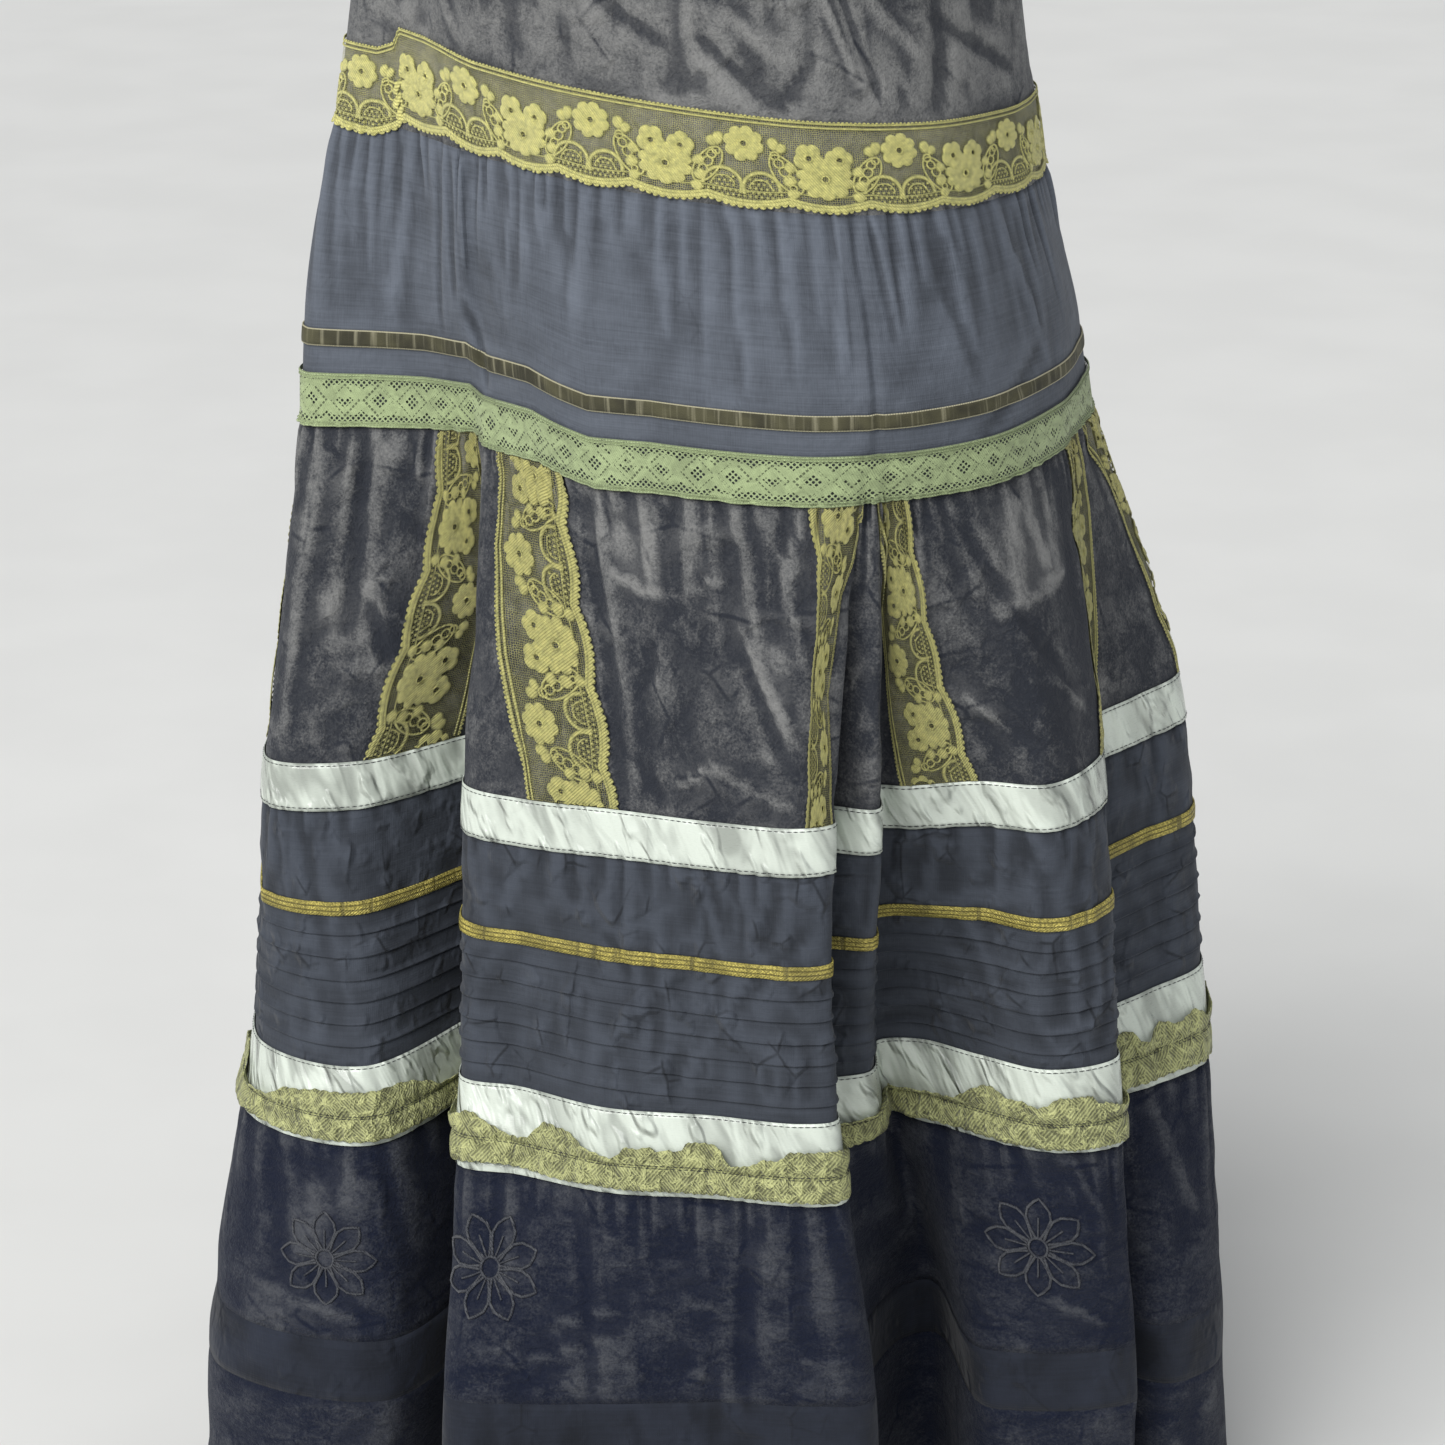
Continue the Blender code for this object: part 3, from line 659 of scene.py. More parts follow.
def grid_faces(rows, columns, closed):
    """Quads of a grid whose rows go down and whose columns go to the right."""
    spans = columns if closed else columns - 1
    row, column = np.meshgrid(np.arange(rows - 1), np.arange(spans), indexing="ij")
    after = (column + 1) % columns
    upper = row * columns
    lower = upper + columns
    corners = [upper + column, lower + column, lower + after, upper + after]
    return np.stack(corners, axis=-1).reshape(-1, 4)


def grid_uvs(across, down, closed_at=None):
    """UV places of grid_faces, in millimetres, with the full girth at a closed grid's end."""
    if closed_at is not None:
        across = np.column_stack([across, across[:, 0] + closed_at])
        down = np.column_stack([down, down[:, 0]])
    place = np.stack([across, down], axis=-1)
    corners = [place[:-1, :-1], place[1:, :-1], place[1:, 1:], place[:-1, 1:]]
    return np.stack(corners, axis=2).reshape(-1, 2)


def grid_places(columns, heights):
    """Column and height of every point of a grid; heights may have one value for each point."""
    height = np.asarray(heights, float)
    if height.ndim == 1:
        height = height[:, None]
    return np.broadcast_arrays(columns[None, :], height)


def shell(name, columns, heights, finish, out, thickness):
    """A thin cloth on the skirt's surface; heights and out may have one value for each point."""
    closed = columns[-1] - columns[0] >= COLUMNS - 1e-6
    used = columns[:-1] if closed else columns
    column, height = grid_places(used, heights)
    points = place(column, height, out)
    ring_columns, girths = girths_at(float(height.mean()))
    across = np.interp(column, ring_columns, girths)
    uvs = grid_uvs(across, height, girths[-1] if closed else None)
    faces = grid_faces(len(height), len(used), closed)
    item = mesh_piece(name, points.reshape(-1, 3), faces, uvs, finish)
    if thickness:
        wall = item.modifiers.new("thickness", "SOLIDIFY")
        wall.thickness = thickness
        wall.offset = -1.0
        wall.use_even_offset = False
    return item


PressedAndShaded = namedtuple("PressedAndShaded", "column top bottom reach_left reach_right tone")
# Patches of the velvet, each with a crisp right edge: where the tone is positive, pile pressed flat with
# its painted sheen; where it is negative, painted shade
PRESSED_AND_SHADED = [PressedAndShaded(*values) for values in (
    (19.6, -372, -418, 2.2, 0.5, 0.42),
    (45.0, -378, -429, 3.0, 1.6, 0.40),
    (24.2, -430, -498, 2.0, 0.4, 0.26),
    (2.4, -440, -470, 1.8, 1.4, 0.30),
    (4.6, -452, -480, 0.8, 0.8, -0.35),
    (22.0, -372, -440, 1.2, 0.7, 0.18),
    (25.0, -372, -412, 0.7, 0.4, 0.30),
    (18.4, -440, -520, 0.8, 0.5, -0.25),
    (43.2, -438, -536, 2.6, 2.2, -0.24),
    (22.0, -105, -125, 2.6, 0.6, -0.45),
    (17.5, -104, -118, 1.2, 0.5, -0.40),
    (2.6, -742, -790, 1.6, 1.2, 0.30),
    (1.8, -800, -850, 1.4, 1.6, 0.26),
    (3.6, -850, -900, 1.2, 0.8, 0.30),
    (16.5, -792, -830, 2.4, 1.6, 0.26),
    (46.0, -735, -830, 3.6, 1.6, -0.24),
    (43.6, -826, -846, 1.8, 1.2, 0.34),
    (46.6, -372, -540, 1.2, 1.4, -0.30),
    (66.0, -380, -424, 2.6, 0.8, 0.36),
    (78.0, -376, -420, 2.4, 0.8, 0.34),
)]
PATCH_SOFT = 6.0
PATCH_CRISP = 0.3
# Painted shading: reach, rise, slope share and crumple share over broad folds, and reach and rise over
# sharp ones
PAINTED_LIGHT_REACH = 4
GROOVE_REACH = 2
PAINTED_LIGHT_RISE = 2.0
PAINTED_LIGHT_SLOPE = 0.16
PAINTED_LIGHT_CRUMPLED = 0.4
PRESSED_AND_SHADED_SHARE = 4.0
GROOVE_RISE = 0.32


def blurred(values, reach):
    """Values of a grid that closes round the skirt, averaged with their neighbours."""
    padded = np.pad(values, ((reach, reach), (0, 0)), mode="edge")
    rows = len(values)
    values = sum(padded[step:step + rows] for step in range(2 * reach + 1)) / (2 * reach + 1)
    return sum(np.roll(values, step, 1) for step in range(-reach, reach + 1)) / (2 * reach + 1)


def pressed_and_shaded_at(column, height):
    """How much lighter the pressed pile's painted sheen, and how much darker the painted shade, make each
    point.
    """
    total = np.zeros(column.shape)
    for patch in PRESSED_AND_SHADED:
        left = smooth((column - patch.column + patch.reach_left) / patch.reach_left)
        right = smooth((patch.column + patch.reach_right - column) / PATCH_CRISP)
        upper = smooth((patch.top + PATCH_SOFT - height) / (2 * PATCH_SOFT))
        lower = smooth((height - patch.bottom) / PATCH_SOFT + 0.5)
        total += patch.tone * left * right * upper * lower
    return total


def paint_relief(item, columns, heights):
    """Store painted light and shade: over broad folds lighter on ridges and on one side, darker in hollows,
    with the pressed patches; over sharp folds lighter on ridges, darker in grooves.
    """
    column, height = grid_places(columns[:-1], heights)
    rise = lift(column, height, PAINTED_LIGHT_CRUMPLED)
    # Painted light: lighter on one side of each fold by its slope, and on broad ridges against their
    # hollows
    slope = np.roll(rise, -1, 1) - np.roll(rise, 1, 1)
    nap = np.tanh((rise - blurred(rise, PAINTED_LIGHT_REACH)) / PAINTED_LIGHT_RISE + slope * PAINTED_LIGHT_SLOPE)
    # Pressed pile with its painted sheen, and painted shade, from the listed patches
    nap += PRESSED_AND_SHADED_SHARE * pressed_and_shaded_at(column, height)
    rise = lift(column, height)
    # Painted highlight on sharp ridges, painted shade in their grooves
    ridge = np.tanh((rise - blurred(rise, GROOVE_REACH)) / GROOVE_RISE)
    for name, values in (("nap", nap), ("ridge", ridge)):
        layer = item.data.attributes.new(name, "FLOAT", "POINT")
        layer.data.foreach_set("value", (0.5 + 0.5 * values).ravel())


def rows_between(top, bottom, step):
    """Even heights from top to bottom."""
    return np.linspace(top, bottom, max(int(round((top - bottom) / step)), 1) + 1)


def area_of(item):
    """Area of a single-layer mesh, in square metres."""
    return sum(face.area for face in item.data.polygons)


def wear(item, slot, nodes=()):
    """Fix a piece to the skirt, in place of its solids."""
    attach(item, BODY)
    if nodes:
        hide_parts(*nodes)
    return item


# Shader helpers

MIX_FACTOR = 0
MIX_FIRST = 6
MIX_SECOND = 7
MIX_RESULT = 2


class Value:
    """A socket of a material, whose operators add Math nodes."""

    def __init__(self, paint, socket):
        self.paint = paint
        self.socket = socket

    def maths(self, operation, *inputs):
        """A Math node on this paint's tree."""
        values = dict(enumerate(inputs))
        return self.paint.node("Math", {"operation": operation}, values)

    def __add__(self, other):
        return self.maths("ADD", self, other)

    def __radd__(self, other):
        return self.maths("ADD", other, self)

    def __sub__(self, other):
        return self.maths("SUBTRACT", self, other)

    def __rsub__(self, other):
        return self.maths("SUBTRACT", other, self)

    def __mul__(self, other):
        return self.maths("MULTIPLY", self, other)

    def __truediv__(self, other):
        return self.maths("DIVIDE", self, other)

    def __abs__(self):
        return self.maths("ABSOLUTE", self)

    def then(self, operation, *others):
        """A Math node whose first input is this value."""
        return self.maths(operation, self, *others)

    def wave(self, pitch):
        """Sine from 0 to 1, once in each pitch."""
        return (self * (math.tau / pitch)).then("SINE") * 0.5 + 0.5

    def bow(self, pitch):
        """One bow of a sine in each pitch, up and down by turns."""
        return (self * (math.pi / pitch)).then("SINE")

    def rise(self, low, high):
        """0 below low, 1 above high, soft between them; high may lie below low."""
        settings = {"interpolation_type": "SMOOTHSTEP"}
        return self.paint.node("MapRange", settings, {"Value": self, "From Min": low, "From Max": high})


# Share of a facet's size that the painted shade line between two facets takes up
CREASE_LINE = 0.055


class Paint:
    """One material, and the method that adds its nodes."""

    def __init__(self, name):
        self.material = bpy.data.materials.new(name)
        self.material.use_nodes = True
        self.tree = self.material.node_tree
        self.tree.nodes.clear()

    def node(self, kind, settings=None, inputs=None, output=0):
        """Add a node, set its settings, then its sockets, and give one of its outputs."""
        node = self.tree.nodes.new("ShaderNode" + kind)
        for key, value in (settings or {}).items():
            setattr(node, key, value)
        for key, value in (inputs or {}).items():
            if isinstance(value, Value):
                self.tree.links.new(value.socket, node.inputs[key])
            else:
                node.inputs[key].default_value = value
        return Value(self, node.outputs[output]) if node.outputs else None

    def blend(self, factor, first, second):
        """A colour between two others."""
        settings = {"data_type": "RGBA"}
        inputs = {MIX_FACTOR: factor, MIX_FIRST: first, MIX_SECOND: second}
        return self.node("Mix", settings, inputs, MIX_RESULT)

    def object_place(self):
        """Places in space, in metres."""
        return self.node("TexCoord", output="Object")

    def cloth_place(self):
        """Places on the flat cloth, in metres: round and up."""
        return self.node("UVMap", {"uv_map": "cloth"})

    def stretched(self, place, scale):
        """A place with its own scale along each axis."""
        return self.node("Mapping", {"vector_type": "POINT"}, {"Vector": place, "Scale": scale})

    def parts(self, place):
        """The two parts of a flat place, as values."""
        node = self.tree.nodes.new("ShaderNodeSeparateXYZ")
        self.tree.links.new(place.socket, node.inputs[0])
        return Value(self, node.outputs[0]), Value(self, node.outputs[1])

    def stored(self, name):
        """A value stored at the piece's points."""
        return self.node("Attribute", {"attribute_name": name}, output="Fac")

    def noise(self, place, scale, detail=2.0, roughness=0.5, distortion=0.0):
        """Soft noise from 0 to 1."""
        inputs = {
            "Vector": place, "Scale": scale, "Detail": detail,
            "Roughness": roughness, "Distortion": distortion,
        }
        return self.node("TexNoise", None, inputs)

    def streaks(self, place, across, down, detail=2.0, roughness=0.5, distortion=0.0):
        """Noise that is as fine across and as fine down as the two scales say."""
        return self.noise(self.stretched(place, (across, down, 1.0)), 1.0, detail, roughness, distortion)

    def shaded(self, factor, colour, least, most):
        """A colour between two shares of its light."""
        return self.blend(factor, toned(colour, least), toned(colour, most))

    def cells(self, feature, place, size, **inputs):
        """A feature of the flat cells of a size."""
        settings = {"feature": feature, "voronoi_dimensions": "2D"}
        return self.node("TexVoronoi", settings, {"Vector": place, "Scale": 1 / size, **inputs})

    def crushed(self, place, size, unevenness):
        """Slanting facets of crushed cloth, and the sharp creases between some of them: in a colour,
        painted light on the facets and painted shade along the creases.
        """
        drift = self.node("TexNoise", None, {"Vector": place, "Scale": 0.4 / size, "Detail": 2.0}, "Color")
        reach = (unevenness, unevenness, unevenness)
        moved = self.node("VectorMath", {"operation": "MULTIPLY_ADD"}, {0: drift, 1: reach, 2: place})
        facets = self.cells("F1", moved, size)
        border = self.cells("DISTANCE_TO_EDGE", moved, size)
        seen = self.noise(place, 1.1 / size, 2.0).rise(0.50, 0.64)
        return facets * seen, border.rise(CREASE_LINE, 0.0) * seen

    def bump(self, height, distance, strength, normal=None):
        """A normal from a height, for a relief of some metres."""
        inputs = {"Height": height, "Distance": distance, "Strength": strength}
        if normal:
            inputs["Normal"] = normal
        return self.node("Bump", None, inputs)

    def finish(self, **inputs):
        """Put the shader and the output last; names are the shader's sockets with underscores."""
        values = {key.replace("_", " "): value for key, value in inputs.items()}
        shader = self.node("BsdfPrincipled", None, values)
        self.node("OutputMaterial", None, {"Surface": shader})
        return self.material


def toned(colour, share=1.0):
    """A share of a colour's light, with its alpha."""
    return (*[part * share for part in colour[:3]], 1.0)


def cloth_paint(name):
    """A new material, its places on the flat cloth, and their two parts."""
    paint = Paint(name)
    place = paint.cloth_place()
    return paint, place, *paint.parts(place)


def from_middle_line(down, top, bottom):
    """Distance from the line along the middle of a band."""
    return abs(down - (top + bottom) / 2 * MM)


def crushed_velvet(name, dark, light, patch, streak, level, nap_share):
    """Crushed pile: patches and mottling of pressed pile with its painted sheen, painted highlights on
    ridges and facets, painted shade in the creases.
    """
    paint = Paint(name)
    place = paint.object_place()
    nap = paint.stored("nap")
    ridge = paint.stored("ridge")
    cloth = paint.stretched(place, (1.0, 1.0, streak))
    broad = paint.noise(cloth, 1 / patch, 3.0, 0.5, 0.4)
    small = paint.noise(cloth, 3.6 / patch, 5.0, 0.70, 0.8)
    facets, creases = paint.crushed(paint.cloth_place(), 0.034, 0.02)
    mottle = paint.noise(place, 300.0, 3.0, 0.7)
    grain = paint.noise(place, 760.0, 2.0, 0.7)
    # The stored term adds painted light and shade over the folds, and the pressed pile with its painted
    # sheen
    tone = (broad - 0.5) * 0.8 + (small - 0.5) * 1.0 + (nap - 0.5) * nap_share + level
    tone = tone + (mottle - 0.5) * 0.55 + (grain - 0.5) * 0.9
    # Painted shade in grooves, painted highlight on sharp ridges
    tone = tone * (ridge.rise(0.10, 0.60) * 0.6 + 0.4) + ridge.rise(0.62, 1.0) * 0.16
    # Painted light on crushed facets, painted shade along their creases
    tone = tone + facets * 0.30 - creases * 0.35
    # The pressed tone mixes the pile's patches and their painted sheen with the painted light and shade
    # above
    pressed = tone.rise(-0.15, 1.10)
    colour = paint.blend(pressed, toned(dark), toned(light))
    relief = paint.bump(broad * 0.4 + small * 0.45 + mottle * 0.08 + facets * 0.5, 0.006, 0.8)
    relief = paint.bump(grain + mottle * 0.5, 0.0008, 0.7, relief)
    return paint.finish(
        Base_Color=colour, Roughness=0.82 - pressed * 0.25, Normal=relief,
        Sheen_Weight=0.08, Sheen_Roughness=0.5, Sheen_Tint=(0.75, 0.78, 0.85, 1.0), IOR=1.28,
    )


def woven_cloth(name, colour, line_depth, mottle, folded):
    """Matte cloth with faint weave lines that run across, with painted shade in its creases and painted
    light on its ridges and facets.
    """
    paint, place, across, down = cloth_paint(name)
    ridge = paint.stored("ridge")
    nap = paint.stored("nap")
    lines = paint.streaks(place, 22.0, 620.0, 2.0, 0.6)
    threads = paint.streaks(place, 1500.0, 110.0, 1.0)
    wash = paint.noise(paint.object_place(), 26.0, 3.0, 0.6, 0.4)
    tone = (wash - 0.5) * mottle + (lines - 0.5) * line_depth + (threads - 0.5) * line_depth * 0.7
    facets, creases = paint.crushed(paint.stretched(place, (1.15, 1.0, 1.0)), 0.026, 0.018)
    # Painted light and shade from the stored terms: lighter on ridges and on one side of each fold, darker
    # in grooves
    tone = tone + (nap - 0.5) * 0.12 + (ridge - 0.5) * 0.34
    # Painted light on crushed facets, painted shade along their creases
    tone = tone + (facets * 0.15 - creases * 0.30) * folded
    shade = paint.shaded((tone + 0.5).rise(0.0, 1.0), colour, 0.40, 1.6)
    weave = across.wave(0.0011) * 0.5 + down.wave(0.0013) * 0.5
    relief = paint.bump(lines * 0.6 + threads * 0.3 + weave * 0.25, 0.0006, 0.55)
    soft = paint.noise(paint.object_place(), 60.0, 3.0, 0.6)
    relief = paint.bump(soft * 0.5 + facets * folded, 0.0060, 0.6, relief)
    return paint.finish(
        Base_Color=shade, Roughness=0.86 - lines * 0.08, Normal=relief,
        Sheen_Weight=0.08, Sheen_Roughness=0.5, IOR=1.3,
    )


def lace_thread(name, colour, shade):
    """Raised stitches of lace: slanting threads in light and dark patches, painted lighter and with painted
    glints where raised, with painted shade towards their rims.
    """
    paint, place, across, down = cloth_paint(name)
    raised = paint.stored("raised")
    slant = (across + down * 0.8).wave(0.0015)
    wear = paint.noise(paint.object_place(), 70.0, 3.0, 0.6)
    fine = paint.noise(place, 1000.0, 2.0)
    patches = paint.noise(place, 340.0, 3.0, 0.65)
    # Raised parts painted lighter, a painted highlight on their tops
    tone = (wear * 0.4 + fine * 0.25 + raised * 0.35 + (patches - 0.5) * 1.5).rise(0.12, 0.80)
    mixed = paint.blend(tone, toned(shade), toned(colour))
    # Painted glints on raised stitches
    mixed = paint.blend(patches.rise(0.56, 0.66) * raised * 0.5, mixed, toned(colour, 1.25))
    mixed = paint.blend(slant * 0.28 + (fine - 0.5) * 0.2, mixed, toned(colour, 0.45))
    # Painted shade towards the stitches' rims
    mixed = paint.blend((1 - raised).rise(0.45, 0.95) * 0.75, mixed, toned(shade, 0.42))
    relief = paint.bump(slant * 0.7 + fine * 0.5 + patches * 1.2, 0.0008, 0.9)
    return paint.finish(
        Base_Color=mixed, Roughness=0.60 - slant * 0.1, Normal=relief,
        Sheen_Weight=0.12, Sheen_Roughness=0.4,
    )


# The net's mesh in metres, and the open share of each of its cells
NET_MESH = 0.0011
NET_OPENNESS = 0.09


def lace_net(name, colour):
    """Fine net with open cells."""
    paint = Paint(name)
    place = paint.cloth_place()
    edge = paint.cells("DISTANCE_TO_EDGE", place, NET_MESH, Randomness=0.55)
    uneven = paint.noise(place, 120.0, 2.0)
    threads = 1 - edge.rise(NET_OPENNESS * 0.4, NET_OPENNESS)
    shade = paint.shaded(uneven.rise(0.3, 0.7), colour, 0.6, 1.0)
    relief = paint.bump(threads, 0.0003, 0.5)
    return paint.finish(Base_Color=shade, Roughness=0.75 - threads * 0.1, Alpha=threads, Normal=relief)


# Sizes of the sage lace's pattern, in metres: the small holes, and the leaves along it
HOLE_ACROSS = 0.0031
HOLE_DOWN = 0.0029
LEAF_PITCH = 0.0195
SMALL_LEAF_PITCH = 0.0065


def lace_openwork(name, colour, top, bottom):
    """Dense lace: rows and patches of small diamond holes between solid leaves."""
    paint, place, across, down = cloth_paint(name)
    from_middle = from_middle_line(down, top, bottom)
    one = (across * (math.pi / HOLE_ACROSS) + down * (math.pi / HOLE_DOWN)).then("SINE")
    other = (across * (math.pi / HOLE_ACROSS) - down * (math.pi / HOLE_DOWN)).then("SINE")
    lattice = abs(one * other).rise(0.40, 0.62)
    leaf = abs(across.bow(LEAF_PITCH))
    small_leaf = abs(across.bow(SMALL_LEAF_PITCH))
    beyond_leaves = (from_middle - leaf * 0.0030 - small_leaf * 0.0009).rise(0.0045, 0.0050)
    edge_rows = from_middle.rise(0.0104, 0.0100) * beyond_leaves
    beside = abs((across / LEAF_PITCH).then("FRACT") - 0.5) * LEAF_PITCH
    patch = (beside * 0.8 + from_middle).rise(0.0042, 0.0036)
    vein = abs(beside * 0.9 + from_middle - 0.0078).rise(0.0009, 0.0006)
    gaps = paint.streaks(place, 90.0, 150.0, 1.0).rise(0.36, 0.44)
    holes = lattice * edge_rows.then("MAXIMUM", patch).then("MAXIMUM", vein * 0.55) * gaps
    leaves = paint.streaks(place, 150.0, 190.0, 2.0, 0.5, 0.8)
    slant = (across + down * 0.6).wave(0.0013)
    wear = paint.noise(paint.object_place(), 40.0, 3.0, 0.6)
    shade = paint.shaded((leaves * 0.6 + wear * 0.4).rise(0.3, 0.7), colour, 0.75, 1.2)
    shade = paint.blend(slant * 0.15, shade, toned(colour, 0.5))
    shade = paint.blend(holes * 0.8, shade, toned(colour, 0.15))
    relief = paint.bump(leaves * 0.8 + slant * 0.3 - holes, 0.0008, 0.8)
    return paint.finish(
        Base_Color=shade, Roughness=0.68 - slant * 0.08, Alpha=1 - holes * 0.9, Normal=relief,
        Sheen_Weight=0.15, Sheen_Roughness=0.4,
    )


def ruffle_lace_finish(name, colour):
    """Lace of the ruffle: hatched leaves whose threads slant either way, with lumps painted lighter and
    darker as their shading.
    """
    paint, place, across, down = cloth_paint(name)
    left = (across + down * 0.9).wave(0.0018)
    right = (across - down * 0.9).wave(0.0021)
    leaf = paint.streaks(place, 110.0, 150.0, 2.0, 0.5, 0.6)
    side = leaf.rise(0.45, 0.55)
    hatch = left * side + right * (1 - side)
    outline = abs(leaf - 0.5).rise(0.03, 0.01)
    fine = paint.noise(place, 800.0, 3.0, 0.7)
    lumps = paint.streaks(place, 180.0, 110.0, 3.0, 0.6, 0.6)
    # The lumps give painted highlight and painted shade to the puckers
    tone = (hatch * 0.24 + fine * 0.25 + lumps * 1.1).rise(0.52, 1.10)
    shade = paint.shaded(tone, colour, 0.34, 1.60)
    shade = paint.blend(outline * 0.5, shade, toned(colour, 2.0))
    relief = paint.bump(hatch * 0.3 + outline * 0.3 + fine * 0.3, 0.0008, 1.0)
    relief = paint.bump(lumps, 0.0065, 1.0, relief)
    return paint.finish(
        Base_Color=shade, Roughness=0.66 - hatch * 0.1, Normal=relief,
        Sheen_Weight=0.12, Sheen_Roughness=0.4,
    )


def satin(name, colour):
    """Glossy satin, crushed into small facets, with soft wrinkles that lean across the band, painted darker
    and lighter as their shade and highlights.
    """
    paint, place, across, down = cloth_paint(name)
    leaning = paint.node("CombineXYZ", None, {"X": across + down * 0.45, "Y": down * 0.6})
    ripple = paint.streaks(leaning, 62.0, 34.0, 2.0, 0.5, 0.8)
    facets, creases = paint.crushed(paint.stretched(leaning, (1.2, 0.9, 1.0)), 0.018, 0.012)
    zone = paint.streaks(leaning, 42.0, 26.0, 3.0, 0.55, 0.6)
    weave = paint.streaks(place, 300.0, 2600.0, 1.0)
    # The wrinkles and zones are painted shade and painted highlight, and the creases painted shade
    tone = ripple.rise(0.34, 0.60) * 0.5 + zone.rise(0.38, 0.52) * 0.5 - creases * 0.12
    shade = paint.shaded(tone.rise(0.0, 1.0), colour, 0.52, 1.06)
    relief = paint.bump(ripple * 0.6 + facets * 0.7 + zone * 0.4, 0.0062, 1.0)
    relief = paint.bump(weave, 0.0002, 0.3, relief)
    return paint.finish(Base_Color=shade, Roughness=0.22 + weave * 0.14, Normal=relief, Coat_Weight=0.15)


def pile_ribbon(name, colour, edge_colour, top, bottom):
    """Velvet ribbon: olive pile between woven edges, with pale bars of painted sheen where it creases."""
    paint, place, across, down = cloth_paint(name)
    half = (top - bottom) / 2 * MM
    woven = from_middle_line(down, top, bottom).rise(half * 0.84, half * 0.89)
    bars = paint.streaks(place, 210.0, 9.0, 3.0, 0.65).rise(0.50, 0.72)
    pile = paint.noise(place, 1400.0, 2.0)
    wash = paint.noise(place, 60.0, 2.0)
    body = paint.shaded(wash.rise(0.3, 0.7), colour, 0.45, 1.2)
    # The bars are painted sheen where the ribbon creases; the woven edges are their own colour
    for lines, share in ((bars, 0.40), (woven, 0.85)):
        body = paint.blend(lines * share, body, toned(edge_colour))
    ticks = across.wave(0.0014)
    relief = paint.bump(pile * (1 - woven) + ticks * woven, 0.0005, 0.7)
    return paint.finish(
        Base_Color=body, Roughness=0.85 - bars * 0.2, Normal=relief,
        Sheen_Weight=0.06, Sheen_Roughness=0.4,
    )


def gold_weave(name, colour, top, bottom):
    """Woven metallic trim: speckled threads, with two lengthwise grooves and the gathers painted dark as
    their shade.
    """
    paint, place, across, down = cloth_paint(name)
    from_middle = from_middle_line(down, top, bottom)
    groove = abs(from_middle - 0.0012).rise(0.0005, 0.0002)
    chevron = (across + from_middle * 1.4).wave(0.0019)
    speckle = paint.noise(place, 900.0, 2.0).rise(0.42, 0.60)
    gather = paint.streaks(place, 140.0, 8.0, 2.0, 0.6).rise(0.57, 0.68)
    wear = paint.noise(place, 60.0, 3.0, 0.6)
    shade = paint.shaded(wear.rise(0.3, 0.7), colour, 0.6, 1.3)
    shade = paint.blend(speckle * 0.6, shade, toned(colour, 0.28))
    # Painted shade in the grooves and in the gathers
    shade = paint.blend(groove.then("MAXIMUM", gather) * 0.7, shade, toned(colour, 0.14))
    relief = paint.bump(chevron * 0.6 + speckle * 0.4 - groove - gather, 0.0007, 0.9)
    return paint.finish(
        Base_Color=shade, Roughness=0.42 + wear * 0.2, Metallic=0.3 - gather * 0.25, Normal=relief
    )


def plain_thread(name, colour):
    """Sewing thread with a fine twist."""
    paint = Paint(name)
    twist = paint.noise(paint.object_place(), 1100.0, 2.0)
    shade = paint.shaded(twist.rise(0.3, 0.7), colour, 0.6, 1.3)
    relief = paint.bump(twist, 0.0002, 0.6)
    return paint.finish(Base_Color=shade, Roughness=0.7 - twist * 0.1, Normal=relief)


def floor_finish(name, colour):
    """Plain pale floor."""
    paint = Paint(name)
    grain = paint.noise(paint.object_place(), 6.0, 3.0)
    shade = paint.shaded(grain.rise(0.3, 0.7), colour, 0.97, 1.0)
    return paint.finish(Base_Color=shade, Roughness=0.6 + grain * 0.1)


# Sizes and colours that a user would change


def size_property(name, description, size, least, most):
    """A size in metres that the panel shows."""
    return bpy.props.FloatProperty(
        name=name, description=description, default=size, min=least, max=most,
        unit="LENGTH", precision=4,
    )


class SkirtSizes(bpy.types.PropertyGroup):
    """Sizes of the skirt's cloths, trims and stitches."""

    cloth_thickness: size_property(
        "Cloth thickness", "Thickness of the tiers' cloth", 0.0006, 0.0002, 0.0015,
    )
    crease_depth: bpy.props.FloatProperty(
        name="Crease depth", description="How deep the creases and gathers are, 1 as worn",
        default=1.0, min=0.0, max=1.5, subtype="FACTOR",
    )
    trim_lift: size_property(
        "Trim lift", "How far a sewn-on trim lies above the cloth", 0.0011, 0.0007, 0.003,
    )
    lace_relief: size_property(
        "Lace relief", "How far petals and cords stand above the net", 0.0007, 0.0003, 0.002,
    )
    picot_pitch: size_property(
        "Picot pitch", "Distance between the small loops along a lace's edge", 0.0022, 0.0015, 0.005,
    )
    tuck_height: size_property(
        "Pintuck height", "How far a pintuck stands out of its tier", 0.0011, 0.0003, 0.003,
    )
    stitch_pitch: size_property(
        "Stitch pitch", "Distance from one stitch to the next", 0.0034, 0.002, 0.008,
    )
    ruffle_wave: size_property(
        "Ruffle wave", "How far the ruffle's edges wave out of the satin", 0.0034, 0.001, 0.005,
    )


def colour_property(name, what, colour):
    """The colour of something, as the panel shows it."""
    return bpy.props.FloatVectorProperty(
        name=name, description="Colour of " + what, default=colour, min=0.0, max=1.0, subtype="COLOR"
    )


